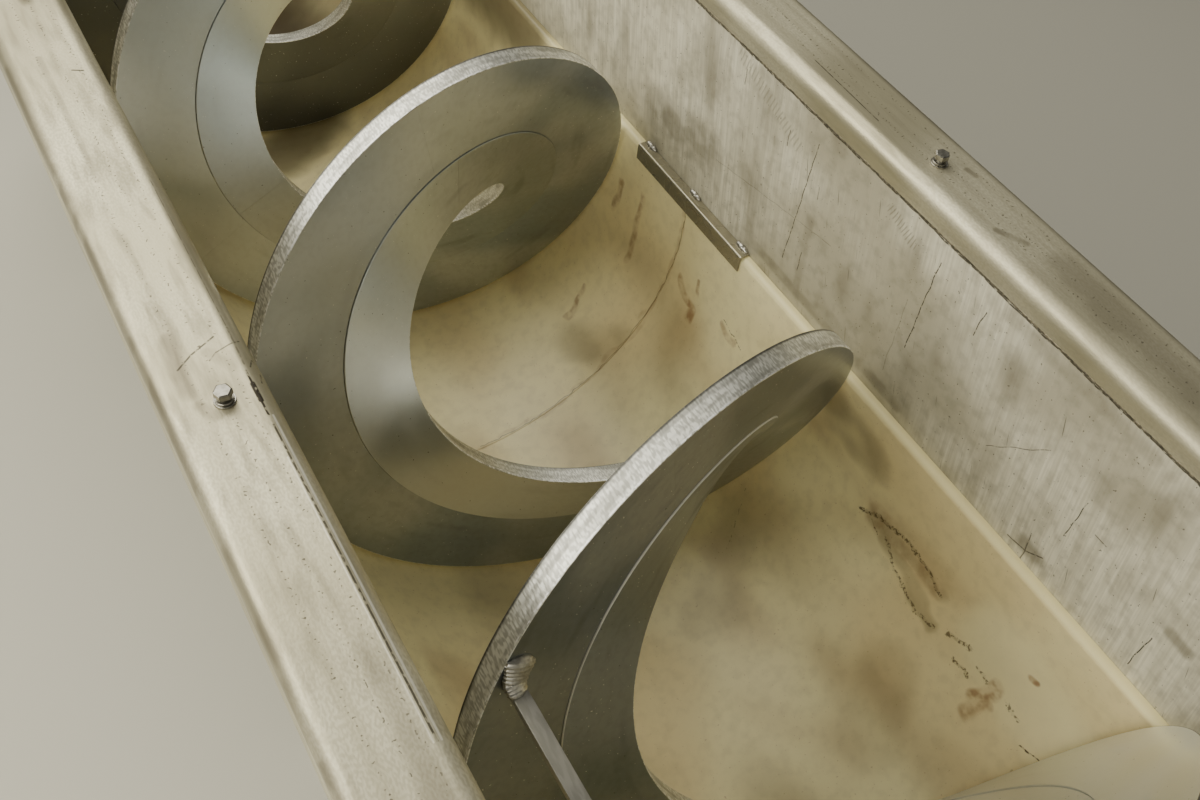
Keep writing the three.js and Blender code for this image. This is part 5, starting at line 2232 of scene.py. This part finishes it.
@dataclass
class Stands:
    """The saddles and legs that carry the trough, bolted down at their feet."""

    finish: Material
    weld: Material
    zinc: Material
    stations: tuple[float, ...] = (100.0, 1050.0, 2000.0)
    axis_height: float = 640.0
    saddle_thickness: float = 8.0
    saddle_half_width: float = 262.0
    saddle_bottom: float = -430.0
    horn_angle: float = 30.0
    leg_size: float = 60.0
    leg_thickness: float = 6.0
    leg_top: float = -200.0
    foot_size: float = 110.0
    foot_thickness: float = 8.0
    foot_inner: float = 156.0
    anchor_offset: float = 178.0
    anchor_spread: float = 33.0
    stitches: tuple[float, ...] = (-34.0, -60.0, -82.0, -106.0, -132.0)
    stitch_angle: float = 14.0

    @property
    def seat_radius(self) -> float:
        """Radius of the saddle's round, a little clear of the trough."""
        return SIZES.half_width + SIZES.plate + SIZES.gap

    def saddle(self, station: float) -> BMesh:
        """One saddle plate."""
        half, wide = self.saddle_thickness / 2, self.saddle_half_width
        top = -self.seat_radius * math.sin(math.radians(self.horn_angle))
        plate = block((-wide, station - half, self.saddle_bottom), (wide, station + half, top))
        hollow = rod((0.0, station - 20.0, 0.0), (0, 1, 0), self.seat_radius, 40.0, 120)
        return rounded(cut(plate, hollow), 0.7, 2)

    def saddle_welds(self, station: float) -> list[BMesh]:
        """The stitches between saddle and trough, on both faces."""
        beads = []
        for way in (-1.0, 1.0):
            face = station + way * self.saddle_thickness / 2
            for start in self.stitches:
                path = arc_path(self.seat_radius, face, start, start - self.stitch_angle, way)
                beads.append(weld_run([(p, (-u[0], u[1], -u[2])) for p, u in path], 8.0, 4.0, 4.5))
        return beads

    @property
    def foot_top(self) -> float:
        """Level of a foot plate's upper face."""
        return self.foot_thickness - self.axis_height

    def leg_plan(self, station: float) -> tuple[float, ...]:
        """A leg seen from above: its sides and the roots of its flanges across, then along."""
        outer, face = self.saddle_half_width, station + self.saddle_thickness / 2 + SIZES.gap
        size, thick = self.leg_size, self.leg_thickness
        return outer - size, outer, outer - thick, face, face + size, face + thick

    def leg(self, way: int, station: float) -> BMesh:
        """One angle leg on its foot plate."""
        inner, outer, web, face, back, root = self.leg_plan(station)
        low = self.foot_top
        bm = bmesh.new()
        outline = ((inner, face), (outer, face), (outer, back), (web, back), (web, root), (inner, root))
        bm.faces.new([bm.verts.new((x, y, low)) for x, y in outline])
        draw_out(bm, (0.0, 0.0, self.leg_top - low))
        for corner, width in (((web, root), 5.0), ((web, back), 3.0), ((inner, root), 3.0)):
            edges = [e for e in bm.edges if all((v.co.xy - Vector(corner)).length < 0.01 for v in e.verts)]
            bevel(bm, edges, width, 4)
        rounded(bm, 0.6, 1, above=60.0)
        middle = face + self.leg_size / 2
        half, near = self.foot_size / 2, self.foot_inner
        foot = block((near, middle - half, -self.axis_height), (near + self.foot_size, middle + half, low))
        whole = joined([bm, rounded(upright_corners(foot, 8.0), 0.8, 1)])
        if way < 0:
            bmesh.ops.scale(whole, vec=(-1.0, 1.0, 1.0), verts=whole.verts)
            bmesh.ops.recalc_face_normals(whole, faces=whole.faces[:])
        return whole

    def leg_welds(self, way: int, station: float) -> list[BMesh]:
        """The fillets at the foot and up the saddle's edge."""
        inner, outer, web, face, back, root = self.leg_plan(station)
        low = self.foot_top
        runs = (
            ((inner, root, low), (web, root, low), (0.0, 1.0, 1.0)),
            ((web, root, low), (web, back, low), (-1.0, 0.0, 1.0)),
            ((outer, face + 2.0, low), (outer, back, low), (1.0, 0.0, 1.0)),
            ((inner, face, low), (outer, face, low), (0.0, -1.0, 1.0)),
            ((inner, face, self.saddle_bottom + 20.0), (inner, face, self.leg_top - 60.0), (-1.0, 0.4, 0.0)),
        )
        return [weld_bead(*((way * x, y, z) for x, y, z in run), 7.0, 3.5, 4.5) for run in runs]

    def anchors(self, way: int, station: float) -> list[BMesh]:
        """The anchor bolts through a foot plate."""
        middle = station + self.saddle_thickness / 2 + SIZES.gap + self.leg_size / 2
        bolt = HexBolt.metric(12)
        x = way * self.anchor_offset
        asides = (-self.anchor_spread, self.anchor_spread)
        return [bolt.at((x, middle + aside, self.foot_top), turn=aside) for aside in asides]

    def build(self) -> None:
        """Makes the stands, their welds and their anchors."""
        welds: list[BMesh] = []
        anchors: list[BMesh] = []
        for number, station in enumerate(self.stations, 1):
            name = f"saddle_{number}"
            finish_piece(f"{name}_cut", self.saddle(station), self.finish, nodes=[name])
            welds += self.saddle_welds(station)
            for side in Side:
                name = f"{side.word}_leg_{number}"
                leg = self.leg(side.value, station)
                finish_piece(f"{name}_rolled", leg, self.finish, nodes=[name])
                welds += self.leg_welds(side.value, station)
                anchors += self.anchors(side.value, station)
        finish_piece("stand_welds", joined(welds), self.weld)
        fasten("stand_anchors", anchors, self.zinc)


def dress(node: str, material: Material) -> None:
    """Gives a node that keeps its shape its finish.

    Args:
        node: The node's name.
        material: Its finish.
    """
    for holder in frame["nodes"][node].material_slots:
        holder.material = material
    log.info("%s: dressed with %s", node, material.name)


@dataclass(frozen=True)
class PhotoCamera:
    """The camera, which looks down into the trough from beside its left rail."""

    place: Point = (-371.8, 459.66, 883.5)
    heading: float = 36.68
    dip: float = 51.25
    roll: float = 7.74
    lens: float = 35.09
    sensor: float = 36.0

    def build(self) -> None:
        """Makes the camera and sets it as the scene's."""
        heading, dip, roll = (math.radians(a) for a in (self.heading, self.dip, self.roll))
        level = Vector((math.sin(heading), math.cos(heading), 0.0))
        right = Vector((math.cos(heading), -math.sin(heading), 0.0))
        up = Vector((0.0, 0.0, 1.0))
        forward = level * math.cos(dip) - up * math.sin(dip)
        upward = up * math.cos(dip) + level * math.sin(dip)
        local_x = right * math.cos(roll) + upward * math.sin(roll)
        local_y = upward * math.cos(roll) - right * math.sin(roll)
        turn = Matrix((local_x, local_y, -forward)).transposed().to_4x4()
        camera = bpy.data.cameras.new("photo_camera")
        camera.lens = self.lens
        camera.sensor_width = self.sensor
        camera.clip_start = 0.01
        camera.clip_end = 100.0
        holder = put_in("photo_camera", camera)
        holder.matrix_world = Matrix.Translation(DATUM.place(self.place)) @ turn
        bpy.context.scene.camera = holder


@dataclass(frozen=True)
class Panel:
    """A soft square light panel, in metres and watts."""

    name: str
    place: Point
    aim: Point
    size: float
    power: float


@dataclass(frozen=True)
class Studio:
    """A pale floor and warm soft panels: most light comes from beyond the far end and the left."""

    floor: str = "#C8C6BB"
    floor_size: float = 40.0
    sky: str = "#DAD8CC"
    sky_strength: float = 0.17
    warmth: tuple[float, float, float] = (1.0, 0.96, 0.82)
    panels: tuple[Panel, ...] = (
        Panel("far_top", (0.0, 2.55, 3.28), (0.0, 0.3, 0.6), 2.4, 67.0),
        Panel("far_left", (-1.59, 1.89, 3.28), (0.0, 0.3, 0.6), 2.4, 26.0),
        Panel("far_right", (1.59, 1.89, 3.28), (0.0, 0.3, 0.6), 2.4, 2.0),
        Panel("left_back", (-1.6, 1.2, 2.0), (0.0, 0.0, 0.6), 1.2, 27.0),
        Panel("left", (-1.9, -0.5, 1.7), (0.0, 0.0, 0.6), 1.2, 30.0),
        Panel("near_low", (0.0, -5.0, 2.4), (0.0, 0.0, 0.6), 1.2, 40.0),
    )

    def hang(self, panel: Panel) -> None:
        """Adds one panel to the scene."""
        light = bpy.data.lights.new(panel.name, "AREA")
        light.shape = "SQUARE"
        light.size = panel.size
        light.energy = panel.power
        light.color = self.warmth
        holder = put_in(panel.name, light)
        holder.location = panel.place
        holder.rotation_euler = (Vector(panel.aim) - Vector(panel.place)).to_track_quat("-Z", "Y").to_euler()

    def build(self) -> None:
        """Makes the floor, the sky and the lights."""
        draft = Draft("plain_floor")
        floor_mesh = bpy.data.meshes.new("floor")
        bm = bmesh.new()
        bmesh.ops.create_grid(bm, x_segments=1, y_segments=1, size=self.floor_size / 2)
        bm.to_mesh(floor_mesh)
        bm.free()
        floor_mesh.materials.append(draft.settle(base_color=linear(self.floor), roughness=0.85))
        put_in("floor", floor_mesh)
        world = bpy.data.worlds.new("studio")
        world.use_nodes = True
        background = world.node_tree.nodes["Background"]
        background.inputs["Color"].default_value = linear(self.sky)
        background.inputs["Strength"].default_value = self.sky_strength
        bpy.context.scene.world = world
        for panel in self.panels:
            self.hang(panel)


def main() -> None:
    """Builds the sub-assemblies in order."""
    PhotoCamera().build()
    Studio().build()
    wall = PickledSheet(
        "pickled_wall_sheet",
        Grain.UP_THE_WALL,
        outside_calm=0.75,
        marks=WALL_MARKS,
        smudges=WALL_SMUDGES,
        chatter=WALL_CHATTER,
    ).build()
    # both rails share one finish but for the tint: the right rail's darker tint is painted shade
    rails = {
        side: PickledSheet(
            f"pickled_{side.word}_rail_sheet",
            Grain.ALONG_TROUGH,
            tint=tint,
            shade="#B4AE94",
            metallic=0.6,
            roughness=(0.36, 0.46),
            stain_amount=0.26,
            grain_amount=0.5,
            fleck_from=0.66,
            hair=0.0,
            stray=0.0,
            face=Face.RAIL_TOPS,
            fleck_rows=by_side(FLECK_ROWS, side),
            marks=by_side(RAIL_MARKS, side),
            scrapes=by_side(RAIL_SCRAPES, side),
            smudges=by_side(RAIL_SMUDGES, side),
        ).build()
        for side, tint in ((Side.RIGHT, "#D2CDB6"), (Side.LEFT, "#DCD7BF"))
    }
    plate = PickledSheet(
        "pickled_end_plate", Grain.UP_THE_WALL, stain_amount=0.14, mottle_amount=0.1, hair=0.3
    ).build()
    stand = PickledSheet(
        "pickled_stand_plate",
        Grain.UP_THE_WALL,
        tint="#C6C2B6",
        shade="#A29E92",
        stain_amount=0.14,
        mottle_amount=0.12,
        hair=0.3,
    ).build()
    liners = {
        "drive": WearPlastic.between("pressed_wear_polyethylene_worn", 0.0, 1199.0).build(),
        "outlet": WearPlastic.between("pressed_wear_polyethylene", 1190.0, 2448.0).build(),
    }
    even = (3.0, 3.0, 3.0)
    clip, weld, seam, bolt, bar = (
        BrightMetal(*row).build()
        for row in (
            ("bent_stainless_strip", "#A39E8B", "#989381", (0.24, 0.32), even, 0.004, 0.7),
            ("stick_weld_metal", "#C9C7C0", "#8E8B84", (0.3, 0.45)),
            ("oxidised_seam_weld", "#8C8470", "#15120D", (0.5, 0.7), (2.4, 3.4, 2.4), 0.3, 0.5),
            ("bright_zinc_plate",),
            ("bright_drawn_bar", "#C4C2BA", "#A4A298", (0.30, 0.42), (3.0, 14.0, 3.0), 0.01, 0.8),
        )
    )
    outer = RolledBand("rolled_outer_band", SIZES.screw_radius).build()
    inner = RolledBand(
        "rolled_inner_band",
        SIZES.core_radius,
        face="#A6AFB2",
        # painted light over these stations, and a painted highlight on the proud corner
        glow=(930.0, 1070.0, 1130.0, 1260.0),
        glow_amount=0.6,
        bright_edge=0.8,
    ).build()
    shaft = BrightMetal("turned_steel", tint="#A5A298", grain=(2.0, 1.0, 2.0)).build()
    paint = MachinePaint("sprayed_machine_enamel").build()
    fan = MachinePaint("moulded_fan_polyamide", paint="#23262A", dust="#5A5A56").build()
    trough = Trough(wall, weld)
    trough.build()
    Rails(rails, seam, bolt).build()
    Liner(liners, clip, weld, trough).build()
    Ends(plate, weld).build()
    Stands(stand, weld, bolt).build()
    Spiral(outer, inner, bar, weld).build()
    SpiralDrive(shaft, bolt, weld).build()
    ShaftGland(shaft, bolt).build()
    GearHousing(paint, bolt).build()
    FinnedMotor(paint, bolt).build()
    FanCover(paint, fan, bolt).build()
    TerminalBox(paint, bolt).build()
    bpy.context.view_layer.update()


if __name__ == "__main__":
    logging.basicConfig(level=logging.INFO, format="%(name)s: %(message)s")
    main()
